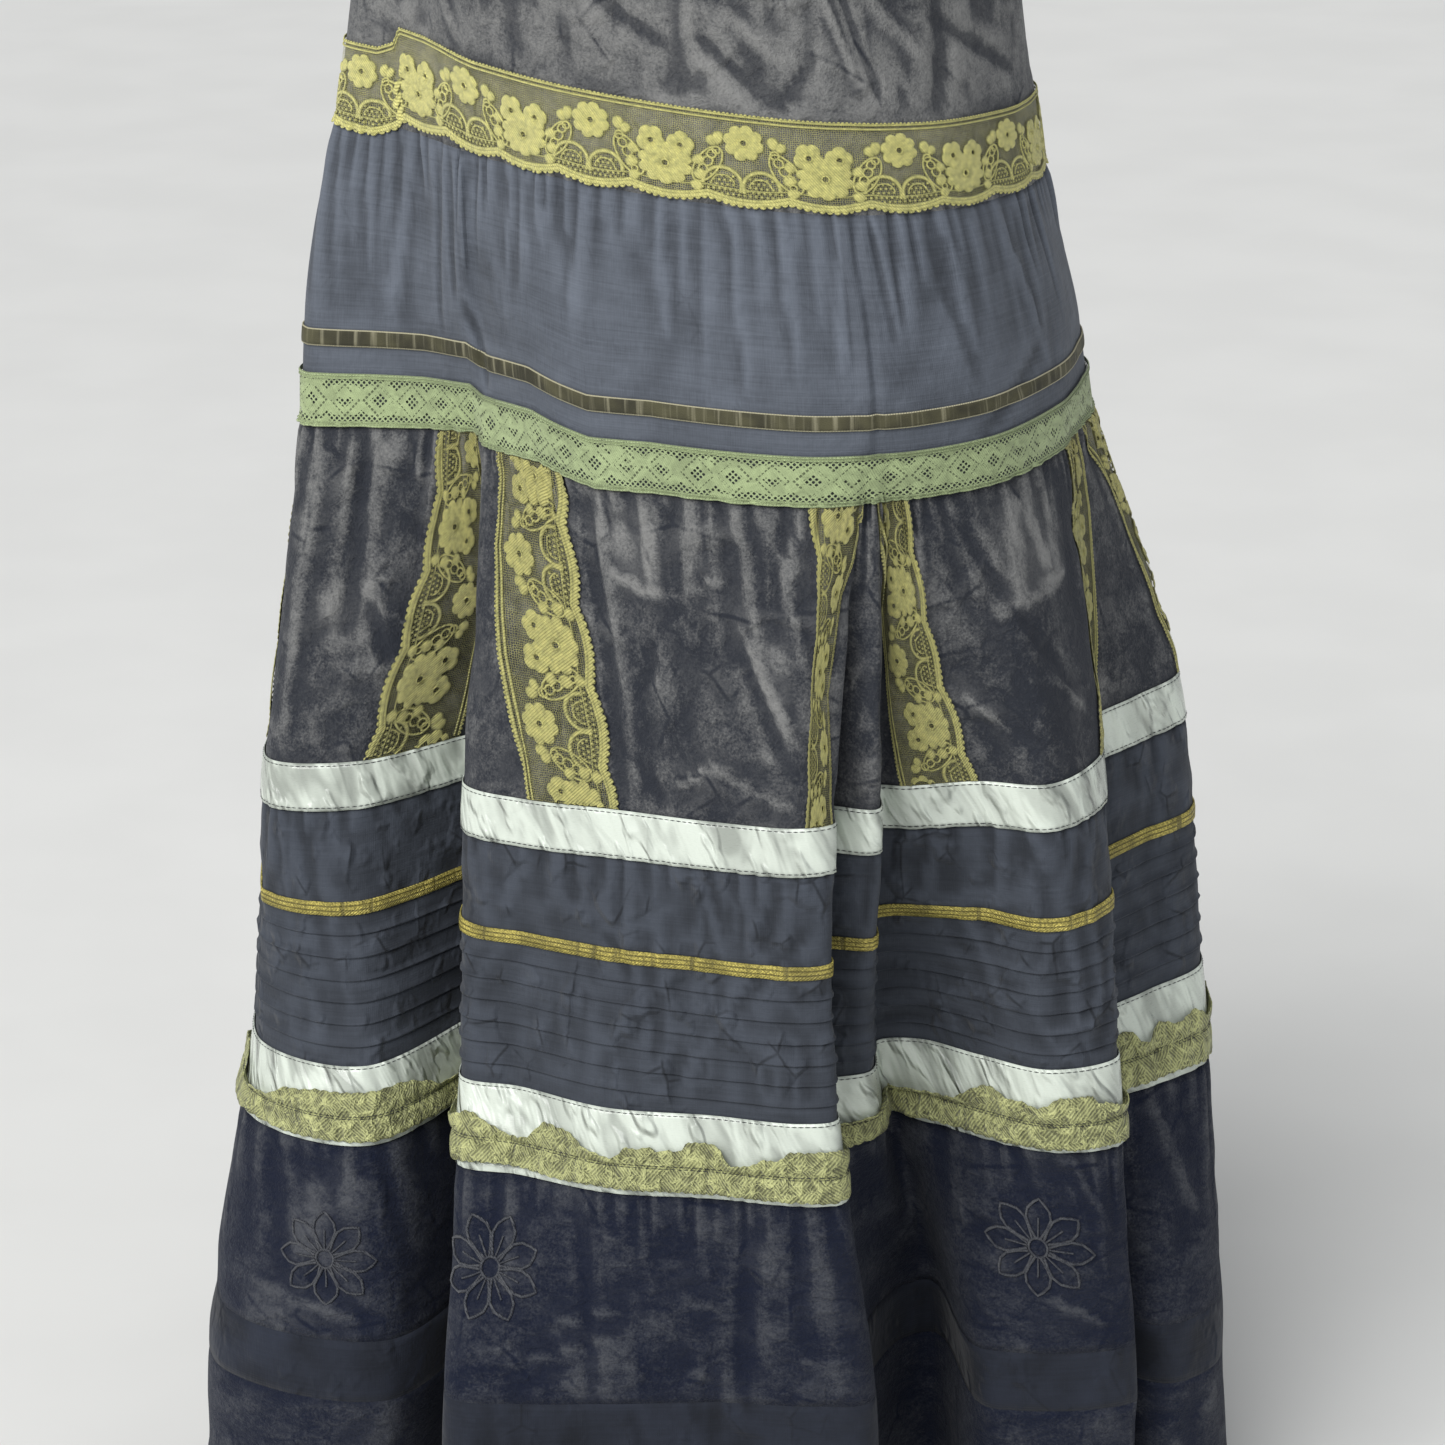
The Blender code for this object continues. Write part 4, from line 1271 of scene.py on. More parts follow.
class SkirtColours(bpy.types.PropertyGroup):
    """Colours of the skirt's cloths, trims and threads."""

    # Each velvet's dark colour is its upright pile and the dark end of its painted shade; its light colour
    # is its pressed pile and the light end of its painted sheen and highlights
    velvet_dark: colour_property("Velvet, upright pile", "the grey velvet's pile", (0.020, 0.023, 0.031))
    velvet_light: colour_property("Velvet, pressed pile", "its pressed pile", (0.215, 0.215, 0.210))
    hip_cloth: colour_property("Hip tier", "the blue-grey cloth", (0.084, 0.095, 0.116))
    cotton: colour_property("Pintuck tier", "the slate cotton", (0.038, 0.044, 0.056))
    dark_cotton: colour_property("Dark band", "the band above the hem tier", (0.013, 0.016, 0.025))
    lace: colour_property("Chartreuse lace", "the hip lace and the strips", (0.71, 0.67, 0.23))
    # The lace's shade colour is the dark end of its random patches and of its painted shade towards the
    # rims, and the strips' painted shade
    lace_shade: colour_property("Chartreuse lace, shade", "its worn threads", (0.42, 0.41, 0.15))
    green_lace: colour_property("Green lace", "the sage lace", (0.31, 0.38, 0.19))
    ribbon: colour_property("Velvet ribbon", "the ribbon's pile", (0.058, 0.054, 0.026))
    ribbon_edge: colour_property("Ribbon edge", "the ribbon's woven edges", (0.45, 0.42, 0.28))
    satin: colour_property("Satin", "both satin bands", (0.58, 0.63, 0.56))
    gold: colour_property("Gold trim", "the metallic trim", (0.52, 0.44, 0.11))
    ruffle: colour_property("Ruffle", "the lace ruffle", (0.30, 0.31, 0.135))
    # The black velvet's two colours likewise serve its painted shade and painted sheen
    black_dark: colour_property("Black velvet", "the bottom tier's upright pile", (0.003, 0.006, 0.019))
    black_light: colour_property("Black velvet, sheen", "its pressed pile", (0.068, 0.072, 0.082))
    thread: colour_property("Thread", "the dark sewing thread", (0.014, 0.016, 0.022))
    floor: colour_property("Floor", "the studio floor", (0.78, 0.78, 0.76))


def sizes():
    """The skirt's sizes in this scene."""
    return bpy.context.scene.skirt_sizes


def shades():
    """The skirt's colours in this scene."""
    return bpy.context.scene.skirt_colours


# Finishes

Finish = namedtuple("Finish", "maker colours values shares", defaults=[{}, (1.0, 1.0)])
# The maker of each finish, its colours, its other values, and the shares of its colours' light
FINISHES = {
    "yoke velvet": Finish(
        crushed_velvet, ["velvet_dark", "velvet_light"],
        dict(patch=0.044, streak=0.9, level=0.56, nap_share=0.42),
    ),
    "grey crushed velvet": Finish(
        crushed_velvet, ["velvet_dark", "velvet_light"],
        dict(patch=0.034, streak=0.8, level=0.13, nap_share=0.52),
    ),
    "black crushed velvet": Finish(
        crushed_velvet, ["black_dark", "black_light"],
        dict(patch=0.036, streak=2.0, level=0.13, nap_share=0.50),
    ),
    "blue grey cloth": Finish(woven_cloth, ["hip_cloth"], dict(line_depth=0.30, mottle=0.45, folded=0.2)),
    "slate cotton": Finish(woven_cloth, ["cotton"], dict(line_depth=0.22, mottle=0.5, folded=1.3)),
    "dark cotton": Finish(woven_cloth, ["dark_cotton"], dict(line_depth=0.25, mottle=0.8, folded=0.6)),
    "chartreuse stitches": Finish(lace_thread, ["lace", "lace_shade"]),
    "shaded stitches": Finish(lace_thread, ["lace", "lace_shade"], shares=(0.7, 0.6)),
    "sage stitches": Finish(lace_thread, ["green_lace", "green_lace"], shares=(1.25, 0.8)),
    "tonal stitches": Finish(lace_thread, ["black_light", "black_dark"]),
    "chartreuse net": Finish(lace_net, ["lace"], shares=(0.9,)),
    "shaded net": Finish(lace_net, ["lace"], shares=(0.6,)),
    "sage openwork": Finish(lace_openwork, ["green_lace"], dict(top=GREEN_LACE_TOP, bottom=HIP_SEAM)),
    "olive lace": Finish(ruffle_lace_finish, ["ruffle"]),
    "mint satin": Finish(satin, ["satin"]),
    "olive ribbon pile": Finish(
        pile_ribbon, ["ribbon", "ribbon_edge"], dict(top=VELVET_RIBBON_TOP, bottom=VELVET_RIBBON_BOTTOM)
    ),
    "gold weave": Finish(gold_weave, ["gold"], dict(top=GOLD_TRIM_TOP, bottom=GOLD_TRIM_BOTTOM)),
    "dark thread": Finish(plain_thread, ["thread"]),
    "pale floor": Finish(floor_finish, ["floor"]),
}


def finish_named(name):
    """A finish by its name, made when a piece first asks for it."""
    made = bpy.data.materials.get(name)
    if made:
        return made
    finish = FINISHES[name]
    lit = zip(finish.colours, finish.shares)
    given = [toned(getattr(shades(), colour), share) for colour, share in lit]
    return finish.maker(name, *given, **finish.values)


# Pieces

ROUND_COUNT = 460
ROW_STEP = 4.6
FINE_ROW_STEP = 3.2
ROUND = spread_columns(ROUND_COUNT)

Tier = namedtuple("Tier", "name nodes top bottom finish slot")
TIERS = [Tier(*values) for values in (
    ("velvet_waistband", ("waistband",), WAISTBAND_TOP, WAISTBAND_BOTTOM,
     "yoke velvet", "grey_velvet"),
    ("velvet_yoke", ("yoke_front", "yoke_back"), WAISTBAND_BOTTOM, YOKE_SEAM,
     "yoke velvet", "grey_velvet"),
    ("cotton_hip_tier", ("hip_tier_front", "hip_tier_back"), YOKE_SEAM, HIP_SEAM,
     "blue grey cloth", "blue_grey_cloth"),
    ("velvet_thigh_tier", ("velvet_tier_front", "velvet_tier_back"), HIP_SEAM, UPPER_SATIN_SEAM,
     "grey crushed velvet", "grey_velvet"),
    ("pintuck_tier", ("pintuck_tier_front", "pintuck_tier_back"), UPPER_SATIN_SEAM, LOWER_SATIN_SEAM,
     "slate cotton", "slate_cotton"),
    ("velvet_bottom_tier", ("bottom_tier_front", "bottom_tier_back"), LOWER_SATIN_SEAM, MATTE_TOP,
     "black crushed velvet", "black_velvet"),
    ("cotton_band", ("matte_band_front", "matte_band_back"), MATTE_TOP, MATTE_BOTTOM,
     "dark cotton", "slate_cotton"),
    ("velvet_hem_tier", ("hem_tier_front", "hem_tier_back"), MATTE_BOTTOM, HEM,
     "black crushed velvet", "black_velvet"),
)]

Tuck = namedtuple("Tuck", "offset out")
# Pintucks of the cotton tier: their heights, and the profile of one from above to below
TUCK_HEIGHTS = [-617.0, -628.5, -640.0, -651.0, -662.0, -673.0]
TUCK_PROFILE = [Tuck(1.1, 0.0), Tuck(0.25, 1.0), Tuck(-0.35, 0.9), Tuck(-0.6, -0.35), Tuck(-1.3, 0.0)]
TUCK_WAVER = 1.7
TUCK_WAVER_LENGTH = 62.0
TUCK_WAVER_SEED = 41
# Nearer to a tuck than this, the tier has only the tuck's own rows
TUCK_ROOM = 2.2


def tucked_rows(rows):
    """The pintuck tier's heights, and how far each of them stands out."""
    plain = [(row, 0.0) for row in rows if min(abs(row - tuck) for tuck in TUCK_HEIGHTS) > TUCK_ROOM]
    tucked = [(tuck + part.offset, part.out) for tuck in TUCK_HEIGHTS for part in TUCK_PROFILE]
    return np.array(sorted(plain + tucked, reverse=True)).T


def build_tier(tier):
    """One tier as a thin cloth."""
    heights = rows_between(tier.top, tier.bottom, ROW_STEP)
    out = 0.0
    if tier.name == "pintuck_tier":
        heights, stand = tucked_rows(heights)
        column = ROUND[:-1][None, :]
        waver = lattice_noise(girth_of(column), 0 * column, TUCK_WAVER_LENGTH, TUCK_WAVER_SEED)
        waver = (waver - 0.5) * 2 * TUCK_WAVER
        in_tucks = smooth((GOLD_TRIM_BOTTOM - heights) / 8) * smooth((heights - LOWER_SATIN_TOP) / 6)
        heights = heights[:, None] + waver * in_tucks[:, None]
        out = np.broadcast_to(stand[:, None] * sizes().tuck_height / MM, heights.shape)
    item = shell(tier.name, ROUND, heights, tier.finish, out, sizes().cloth_thickness)
    paint_relief(item, ROUND, heights)
    wear(item, tier.slot, tier.nodes)


Band = namedtuple("Band", "name node top bottom finish slot ripple_length ripple thickness")
BANDS = [Band(*values) for values in (
    ("ribbon_round_hips", "velvet_ribbon", VELVET_RIBBON_TOP, VELVET_RIBBON_BOTTOM,
     "olive ribbon pile", "olive_ribbon", 14.0, 0.35, 0.0007),
    ("satin_band_upper", "upper_satin", UPPER_SATIN_TOP, UPPER_SATIN_SEAM,
     "mint satin", "pale_satin", 9.0, 0.7, 0.0004),
    ("gold_trim_band", "gold_trim", GOLD_TRIM_TOP, GOLD_TRIM_BOTTOM,
     "gold weave", "gold_trim", 12.0, 0.3, 0.0008),
    ("satin_band_lower", "lower_satin", LOWER_SATIN_TOP, LOWER_SATIN_SEAM,
     "mint satin", "pale_satin", 11.0, 0.9, 0.0004),
)]
# Bands narrower than this have closer rows
NARROW_BAND = 10.0
NARROW_ROW_STEP = 2.0
BAND_SEED = 61


def build_band(band):
    """One ribbon or satin band, rippled between its edges."""
    width = band.top - band.bottom
    heights = rows_between(band.top, band.bottom, FINE_ROW_STEP if width > NARROW_BAND else NARROW_ROW_STEP)
    column, height = np.meshgrid(ROUND[:-1], heights)
    share = (band.top - height) / width
    belly = np.sin(np.pi * share) ** 0.7
    ripple = lattice_noise(girth_of(column), share * 12, band.ripple_length, BAND_SEED)
    out = sizes().trim_lift / MM + ripple * band.ripple * belly
    item = shell(band.name, ROUND, heights, band.finish, out, band.thickness)
    wear(item, band.slot, [band.node])


# Lace: one flat repeat of raised stitches, in millimetres along the lace and down from its straight edge

LACE_PITCH = 78.0
LACE_WIDTH = 50.0
SCALLOP_PITCH = LACE_PITCH / 2
SCALLOP_DROP = 3.4
BORDER_TOP = 41.4
BORDER_WIDTH = 4.2
BORDER_STEPS = 52
# The inner ring of a raised plate, as a share of its outline, and its height as a share of the top's
DOME_RING = 0.55
DOME_SHOULDER = 0.85

Flower = namedtuple("Flower", "along down radius_along radius_down petals turn")
LACE_FLOWERS = [Flower(*values) for values in (
    (0.0, 15.0, 10.4, 10.0, 8, 10),
    (39.0, 31.0, 14.5, 11.6, 10, 4),
    (31.5, 20.0, 7.6, 8.4, 5, 20),
    (46.5, 20.5, 7.4, 7.8, 5, 50),
)]
Lobe = namedtuple("Lobe", "along down turn length width")
# Loose lobes: from a root, turned clockwise from the lace's length
LACE_LOBES = [Lobe(*values) for values in (
    (26.0, 27.0, 200, 7.0, 6.0), (26.0, 33.0, 178, 7.5, 6.4), (27.0, 38.5, 160, 7.0, 6.0),
    (52.0, 28.0, 340, 7.0, 6.0), (52.5, 34.0, 4, 7.5, 6.4), (51.5, 39.0, 22, 7.0, 6.0),
    (-13.6, 18.5, 232, 7.0, 5.6), (-13.0, 18.0, 275, 8.2, 6.0), (15.0, 18.0, 262, 8.0, 6.2),
    (16.0, 18.5, 310, 6.6, 5.6),
)]
Eyelet = namedtuple("Eyelet", "along down radius_along radius_down turn width")
# Buds, and the small rings inside the openwork leaves
LACE_EYELETS = [Eyelet(*values) for values in (
    (15.2, 20.0, 2.2, 2.2, 0, 1.4), (-13.4, 20.5, 2.0, 2.0, 0, 1.3),
    (17.0, 24.0, 2.6, 2.2, 50, 1.3), (19.6, 28.2, 2.8, 2.4, 50, 1.3),
    (22.4, 32.4, 2.4, 2.2, 50, 1.3), (23.6, 36.6, 1.8, 1.6, 50, 1.2),
    (62.4, 22.6, 2.6, 2.2, 130, 1.3), (60.4, 26.8, 2.8, 2.4, 130, 1.3),
    (58.0, 31.0, 2.4, 2.2, 130, 1.3), (56.6, 35.0, 1.8, 1.6, 130, 1.2),
)]
Loop = namedtuple("Loop", "along down radius_along radius_down turn start end width")
# Outlines: openwork leaves as whole ovals, and the arches below the single flower
LACE_LOOPS = [Loop(*values) for values in (
    (20.4, 29.6, 11.6, 5.6, 56, 0, 360, 1.3),
    (60.2, 28.4, 11.0, 5.4, 122, 0, 360, 1.3),
    (-10.6, 38.0, 9.4, 9.0, 0, 176, 384, 2.3),
    (8.4, 38.6, 8.8, 8.6, 0, 156, 364, 2.3),
    (-10.2, 38.6, 5.8, 5.6, 0, 190, 350, 0.9),
    (8.0, 39.0, 5.4, 5.2, 0, 190, 350, 0.9),
)]
# Fields of dots: left, top, right and bottom
DOTTED = [(-16.0, 33.5, -5.0, 40.5), (3.0, 34.0, 14.0, 41.0), (-20.0, 40.8, 20.0, 43.6)]
DOT_PITCH = 2.7
DOT_ROW_PITCH = DOT_PITCH * 0.86
DOT_RADIUS = 0.95
DOT_SIDES = 6
DOT_RISE = 0.7
# Cords along the straight edge, and the thin one above the scallops: place down and width
EDGE_CORDS = [(0.9, 1.5), (3.3, 1.3)]
THIN_CORD_DOWN = 39.0
THIN_CORD_WIDTH = 0.9
THIN_CORD_WAVE = 0.4
PETAL_STEPS = 5
PETAL_NOTCH = 0.17
NOTCHED_FROM = 0.8
EYE_RADIUS = 2.0
EYE_WIDTH = 1.3
EYE_RISE = 1.35
# Rows of a flower from its rim inwards: reach, rise, and how deep the creases between petals are
FLOWER_PROFILE = [
    (1.0, 0.0, 0.0), (0.93, 0.80, 0.30), (0.66, 0.86, 0.34), (0.36, 0.72, 0.2), (0.16, 0.30, 0.0),
]
# Half outline of a loose lobe: reach from the root, and side
LOBE_OUTLINE = [(0.0, 0.0), (0.22, 0.36), (0.60, 0.52), (0.90, 0.36), (1.0, 0.0)]
LOBE_MIDDLE = 0.6
# Points for each millimetre of a loop's radius and whole turn, and the fewest
LOOP_POINTS = 3.2
LEAST_LOOP_POINTS = 8
# The border from its inner edge outwards: reach and rise
BORDER_PROFILE = [(0.0, 0.0), (0.22, 0.9), (0.42, 0.25), (0.55, 0.85), (0.82, 0.9), (1.0, 0.0)]


def mirrored(outline):
    """A half outline, then its other half back to the start."""
    return outline + [(reach, -side) for reach, side in outline[-2::-1]]


def heading_at(angle):
    """The directions ahead and aside of an angle."""
    ahead = np.array([math.cos(angle), math.sin(angle)])
    return ahead, np.array([-ahead[1], ahead[0]])


def level_path(along, down):
    """A flat path along the lace, at one place down."""
    return np.column_stack([along, down + 0 * along])


class Relief:
    """A flat mesh of raised stitches: points are (along, down, rise)."""

    def __init__(self, rise):
        self.rise = rise
        self.points = []
        self.faces = []

    def loops(self, rows, closed):
        """Join rows of the same number of points by quads."""
        start = len(self.points)
        for row in rows:
            self.points.extend(row)
        self.faces.extend((start + grid_faces(len(rows), len(rows[0]), closed)).tolist())

    def cap(self, count, top):
        """Close the last points, a ring of that count, with a fan to a top."""
        peak = len(self.points)
        start = peak - count
        self.points.append(top)
        for step in range(count):
            self.faces.append((start + step, peak, start + (step + 1) % count))

    def dome(self, outline, middle, share=1.0):
        """A raised plate with a soft top."""
        rise = self.rise * share
        x0, y0 = middle
        outer = [(x, y, 0.0) for x, y in outline[::-1]]
        inner = [
            (x0 + (x - x0) * DOME_RING, y0 + (y - y0) * DOME_RING, rise * DOME_SHOULDER)
            for x, y, _ in outer
        ]
        self.loops([outer, inner], closed=True)
        self.cap(len(outer), (x0, y0, rise))

    def flower(self, flower):
        """A raised disc with a rim of round petals and an eyelet in the middle."""
        steps = flower.petals * PETAL_STEPS
        angles = math.tau * np.arange(steps) / steps
        petal = np.abs(np.sin(angles * flower.petals / 2))
        rim = 1 - PETAL_NOTCH * (1 - petal**0.6)
        turned = -(angles + math.radians(flower.turn))
        rows = []
        for reach, rise, crease in FLOWER_PROFILE:
            radius = reach * (rim if reach > NOTCHED_FROM else 1.0)
            height = self.rise * rise * (1 - crease * (1 - petal**0.5))
            x = flower.along + flower.radius_along * radius * np.cos(turned)
            y = flower.down + flower.radius_down * radius * np.sin(turned)
            rows.append(list(zip(x, y, height + 0 * x)))
        self.loops(rows, closed=True)
        self.ring(Eyelet(flower.along, flower.down, EYE_RADIUS, EYE_RADIUS, 0, EYE_WIDTH), EYE_RISE)

    def lobe(self, lobe):
        """A loose lobe from its root."""
        ahead, aside = heading_at(math.radians(lobe.turn))
        root = np.array([lobe.along, lobe.down])
        outline = [
            tuple(root + ahead * lobe.length * reach + aside * lobe.width * side)
            for reach, side in mirrored(LOBE_OUTLINE)[:-1]
        ]
        self.dome(outline, root + ahead * lobe.length * LOBE_MIDDLE)

    def ribbon(self, path, width, share=0.8):
        """A rounded cord along a flat path."""
        path = np.asarray(path, float)
        heading = unit(np.gradient(path, axis=0))
        aside = np.column_stack([-heading[:, 1], heading[:, 0]]) * width / 2
        rows = [
            [(x, y, 0.0) for x, y in path - aside],
            [(x, y, self.rise * share) for x, y in path],
            [(x, y, 0.0) for x, y in path + aside],
        ]
        self.loops(rows, closed=False)

    def loop(self, loop, share=0.8):
        """A cord along part of an oval."""
        sweep = loop.end - loop.start
        radius = max(loop.radius_along, loop.radius_down)
        steps = max(int(radius * sweep / 360 * LOOP_POINTS), LEAST_LOOP_POINTS)
        angles = np.radians(loop.start + sweep * np.arange(steps + 1) / steps)
        turn = math.radians(loop.turn)
        x = loop.radius_along * np.cos(angles)
        y = loop.radius_down * np.sin(angles)
        path = np.column_stack([
            loop.along + x * math.cos(turn) - y * math.sin(turn),
            loop.down + x * math.sin(turn) + y * math.cos(turn),
        ])
        self.ribbon(path, loop.width, share)

    def ring(self, eyelet, share):
        """A cord round a whole oval."""
        self.loop(Loop(*eyelet[:5], 0, 360, eyelet.width), share)

    def dot(self, along, down, radius):
        """A small raised dot."""
        for angle in np.arange(DOT_SIDES) * math.tau / DOT_SIDES:
            self.points.append((along + radius * math.cos(angle), down + radius * math.sin(angle), 0.0))
        self.cap(DOT_SIDES, (along, down, self.rise * DOT_RISE))

    def piece(self, name):
        """The relief as a flat mesh object, in metres."""
        return bare_mesh(name, self.points, [], self.faces)


def scallop(along):
    """How far the lace's border drops at a place along it."""
    return SCALLOP_DROP * np.abs(np.cos(np.pi * (np.asarray(along) - 2.0) / SCALLOP_PITCH)) ** 0.9


def lace_repeat():
    """One repeat of the lace: flowers, lobes, leaves, arches, dots, cords and border."""
    relief = Relief(sizes().lace_relief / MM)
    for flower in LACE_FLOWERS:
        relief.flower(flower)
    for lobe in LACE_LOBES:
        relief.lobe(lobe)
    for eyelet in LACE_EYELETS:
        relief.ring(eyelet, 0.9)
    for loop in LACE_LOOPS:
        relief.loop(loop)
    for left, top, right, bottom in DOTTED:
        for row, down in enumerate(np.arange(top, bottom, DOT_ROW_PITCH)):
            for along in np.arange(left + (row % 2) * DOT_PITCH / 2, right, DOT_PITCH):
                relief.dot(along, down, DOT_RADIUS)
    along = np.linspace(0.0, LACE_PITCH, BORDER_STEPS + 1)
    for down, width in EDGE_CORDS:
        relief.ribbon(level_path(along, down), width, 0.9)
    thin = level_path(along, THIN_CORD_DOWN + scallop(along) * THIN_CORD_WAVE)
    relief.ribbon(thin, THIN_CORD_WIDTH, 0.5)
    top = BORDER_TOP + scallop(along)
    rows = [
        [(x, y + BORDER_WIDTH * reach, relief.rise * rise) for x, y in zip(along, top)]
        for reach, rise in BORDER_PROFILE
    ]
    relief.loops(rows, closed=False)
    return relief.piece("flat lace repeat")


# Geometry Nodes: copies along a line, and small pieces along a path

LINE_TREE = "copies along a line"
PATH_TREE = "pieces along a path"
RANDOM_LEAST = 2
RANDOM_MOST = 3
RANDOM_RESULT = 1


class GeometryTree:
    """One geometry tree with named inputs, and the method that adds its nodes."""

    def __init__(self, name, sockets):
        self.tree = bpy.data.node_groups.new(name, "GeometryNodeTree")
        add = self.tree.interface.new_socket
        add("Geometry", in_out="INPUT", socket_type="NodeSocketGeometry")
        for label, kind in sockets.items():
            add(label, in_out="INPUT", socket_type="NodeSocket" + kind)
        add("Geometry", in_out="OUTPUT", socket_type="NodeSocketGeometry")
        self.given = self.tree.nodes.new("NodeGroupInput").outputs
        self.result = self.tree.nodes.new("NodeGroupOutput")

    def node(self, kind, links=None, settings=None, values=None):
        """Add a node, its settings first, and give its outputs."""
        node = self.tree.nodes.new(kind)
        for key, value in (settings or {}).items():
            setattr(node, key, value)
        for key, value in (values or {}).items():
            node.inputs[key].default_value = value
        for key, socket in (links or {}).items():
            self.tree.links.new(socket, node.inputs[key])
        return node.outputs

    def close(self, geometry):
        """Realize the copies, give them their finish, and give the tree."""
        real = self.node("GeometryNodeRealizeInstances", {"Geometry": geometry})
        links = {"Geometry": real[0], "Material": self.given["Finish"]}
        finish = self.node("GeometryNodeSetMaterial", links)
        self.tree.links.new(finish[0], self.result.inputs[0])
        return self.tree


def line_tree():
    """Copies of the given mesh along a straight line."""
    tree = GeometryTree(LINE_TREE, {"Count": "Int", "Pitch": "Float", "Finish": "Material"})
    given = tree.given
    step = tree.node("ShaderNodeCombineXYZ", {"X": given["Pitch"]})
    line = tree.node(
        "GeometryNodeMeshLine", {"Count": given["Count"], "Offset": step[0]}, {"mode": "OFFSET"}
    )
    copies = tree.node("GeometryNodeInstanceOnPoints", {"Points": line[0], "Instance": given["Geometry"]})
    return tree.close(copies[0])


def path_tree():
    """Small pieces along the given path, turned to follow it, uneven by a fixed seed."""
    tree = GeometryTree(PATH_TREE, {
        "Piece": "Object", "Pitch": "Float", "Unevenness": "Float", "Seed": "Int", "Finish": "Material",
    })
    given = tree.given
    curve = tree.node("GeometryNodeMeshToCurve", {"Mesh": given["Geometry"]})
    even = tree.node(
        "GeometryNodeResampleCurve", {"Curve": curve[0], "Length": given["Pitch"]}, {"mode": "LENGTH"}
    )
    piece = tree.node("GeometryNodeObjectInfo", {"Object": given["Piece"]})
    tangent = tree.node("GeometryNodeInputTangent")
    turn = tree.node("FunctionNodeAlignRotationToVector", {"Vector": tangent[0]}, {"axis": "X"})
    least = tree.node("ShaderNodeMath", {1: given["Unevenness"]}, {"operation": "SUBTRACT"}, {0: 1.0})
    size = tree.node(
        "FunctionNodeRandomValue", {RANDOM_LEAST: least[0], "Seed": given["Seed"]},
        {"data_type": "FLOAT"}, {RANDOM_MOST: 1.0},
    )
    copies = tree.node("GeometryNodeInstanceOnPoints", {
        "Points": even[0], "Instance": piece["Geometry"], "Rotation": turn[0], "Scale": size[RANDOM_RESULT],
    })
    return tree.close(copies[0])


TREE_MAKERS = {LINE_TREE: line_tree, PATH_TREE: path_tree}


def grow(item, tree_name, name, finish, **inputs):
    """Run a tree on an object and give the result as a plain mesh object; the first one goes."""
    tree = bpy.data.node_groups.get(tree_name) or TREE_MAKERS[tree_name]()
    modifier = item.modifiers.new("repeat", "NODES")
    modifier.node_group = tree
    inputs["Finish"] = finish_named(finish)
    for socket in tree.interface.items_tree:
        if socket.in_out == "INPUT" and socket.name in inputs:
            modifier[socket.identifier] = inputs[socket.name]
    view = bpy.context.evaluated_depsgraph_get()
    mesh = bpy.data.meshes.new_from_object(item.evaluated_get(view))
    mesh.name = name
    discard(item)
    return placed(name, mesh)


def joined(name, items):
    """Several mesh objects as one."""
    points = []
    faces = []
    for item in items:
        base = sum(len(part) for part in points)
        points.append(read_points(item.data))
        for face in item.data.polygons:
            faces.append(tuple(base + index for index in face.vertices))
        discard(item)
    mesh = bpy.data.meshes.new(name)
    mesh.from_pydata(np.concatenate(points).tolist(), [], faces)
    return placed(name, mesh)


def read_points(mesh):
    """A mesh's points, in metres."""
    points = np.empty(len(mesh.vertices) * 3)
    mesh.vertices.foreach_get("co", points)
    return points.reshape(-1, 3)


def trim_ends(mesh, flat, length):
    """Drop the faces before the start or beyond the end of a flat lace, and give the points left."""
    beyond = (flat[:, 0] < 0.0) | (flat[:, 0] > length)
    keep = [face.vertices[:] for face in mesh.polygons if not beyond[list(face.vertices)].any()]
    used = np.unique(np.concatenate([np.array(face) for face in keep]))
    places = np.full(len(flat), -1)
    places[used] = np.arange(len(used))
    faces = [tuple(int(places[index]) for index in face) for face in keep]
    mesh.clear_geometry()
    mesh.from_pydata(flat[used].tolist(), [], faces)
    return flat[used]


def wrapped(item, name, placer, finish, length=None):
    """Lay a flat mesh on the skirt: the placer gives column, height and out for flat places."""
    mesh = item.data
    flat = read_points(mesh) / MM
    if length:
        flat = trim_ends(mesh, flat, length)
    column, height, out = placer(flat[:, 0], flat[:, 1], flat[:, 2])
    mesh.vertices.foreach_set("co", (place(column, height, out) * MM).ravel())
    raised = np.clip(flat[:, 2] / (sizes().lace_relief / MM), 0, 1)
    mesh.attributes.new("raised", "FLOAT", "POINT").data.foreach_set("value", raised)
    corners = np.empty(len(mesh.loops), int)
    mesh.loops.foreach_get("vertex_index", corners)
    layer = mesh.uv_layers.new(name="cloth")
    layer.data.foreach_set("uv", (flat[corners][:, :2] * (MM, -MM)).ravel())
    mesh.update()
    item.name = name
    return dress(item, finish)


def path_object(points):
    """A bare path through points given in millimetres."""
    edges = [(index, index + 1) for index in range(len(points) - 1)]
    return bare_mesh("path", points, edges, [])


def picot_piece(radius, rise, side):
    """A small rounded bump that stands out to one side of its path."""
    relief = Relief(rise)
    angles = np.linspace(0.0, math.pi, 6)
    outline = [(radius * math.cos(a) * side, side * radius * 0.95 * math.sin(a)) for a in angles]
    relief.dome(outline[::-1], (0.0, side * radius * 0.4), 0.9)
    return relief.piece("picot")


# One stitch from end to end: reach from its middle, and thickness
STITCH_PROFILE = [(-0.5, 0.3), (0.0, 1.0), (0.5, 0.3)]
STITCH_SIDES = 4


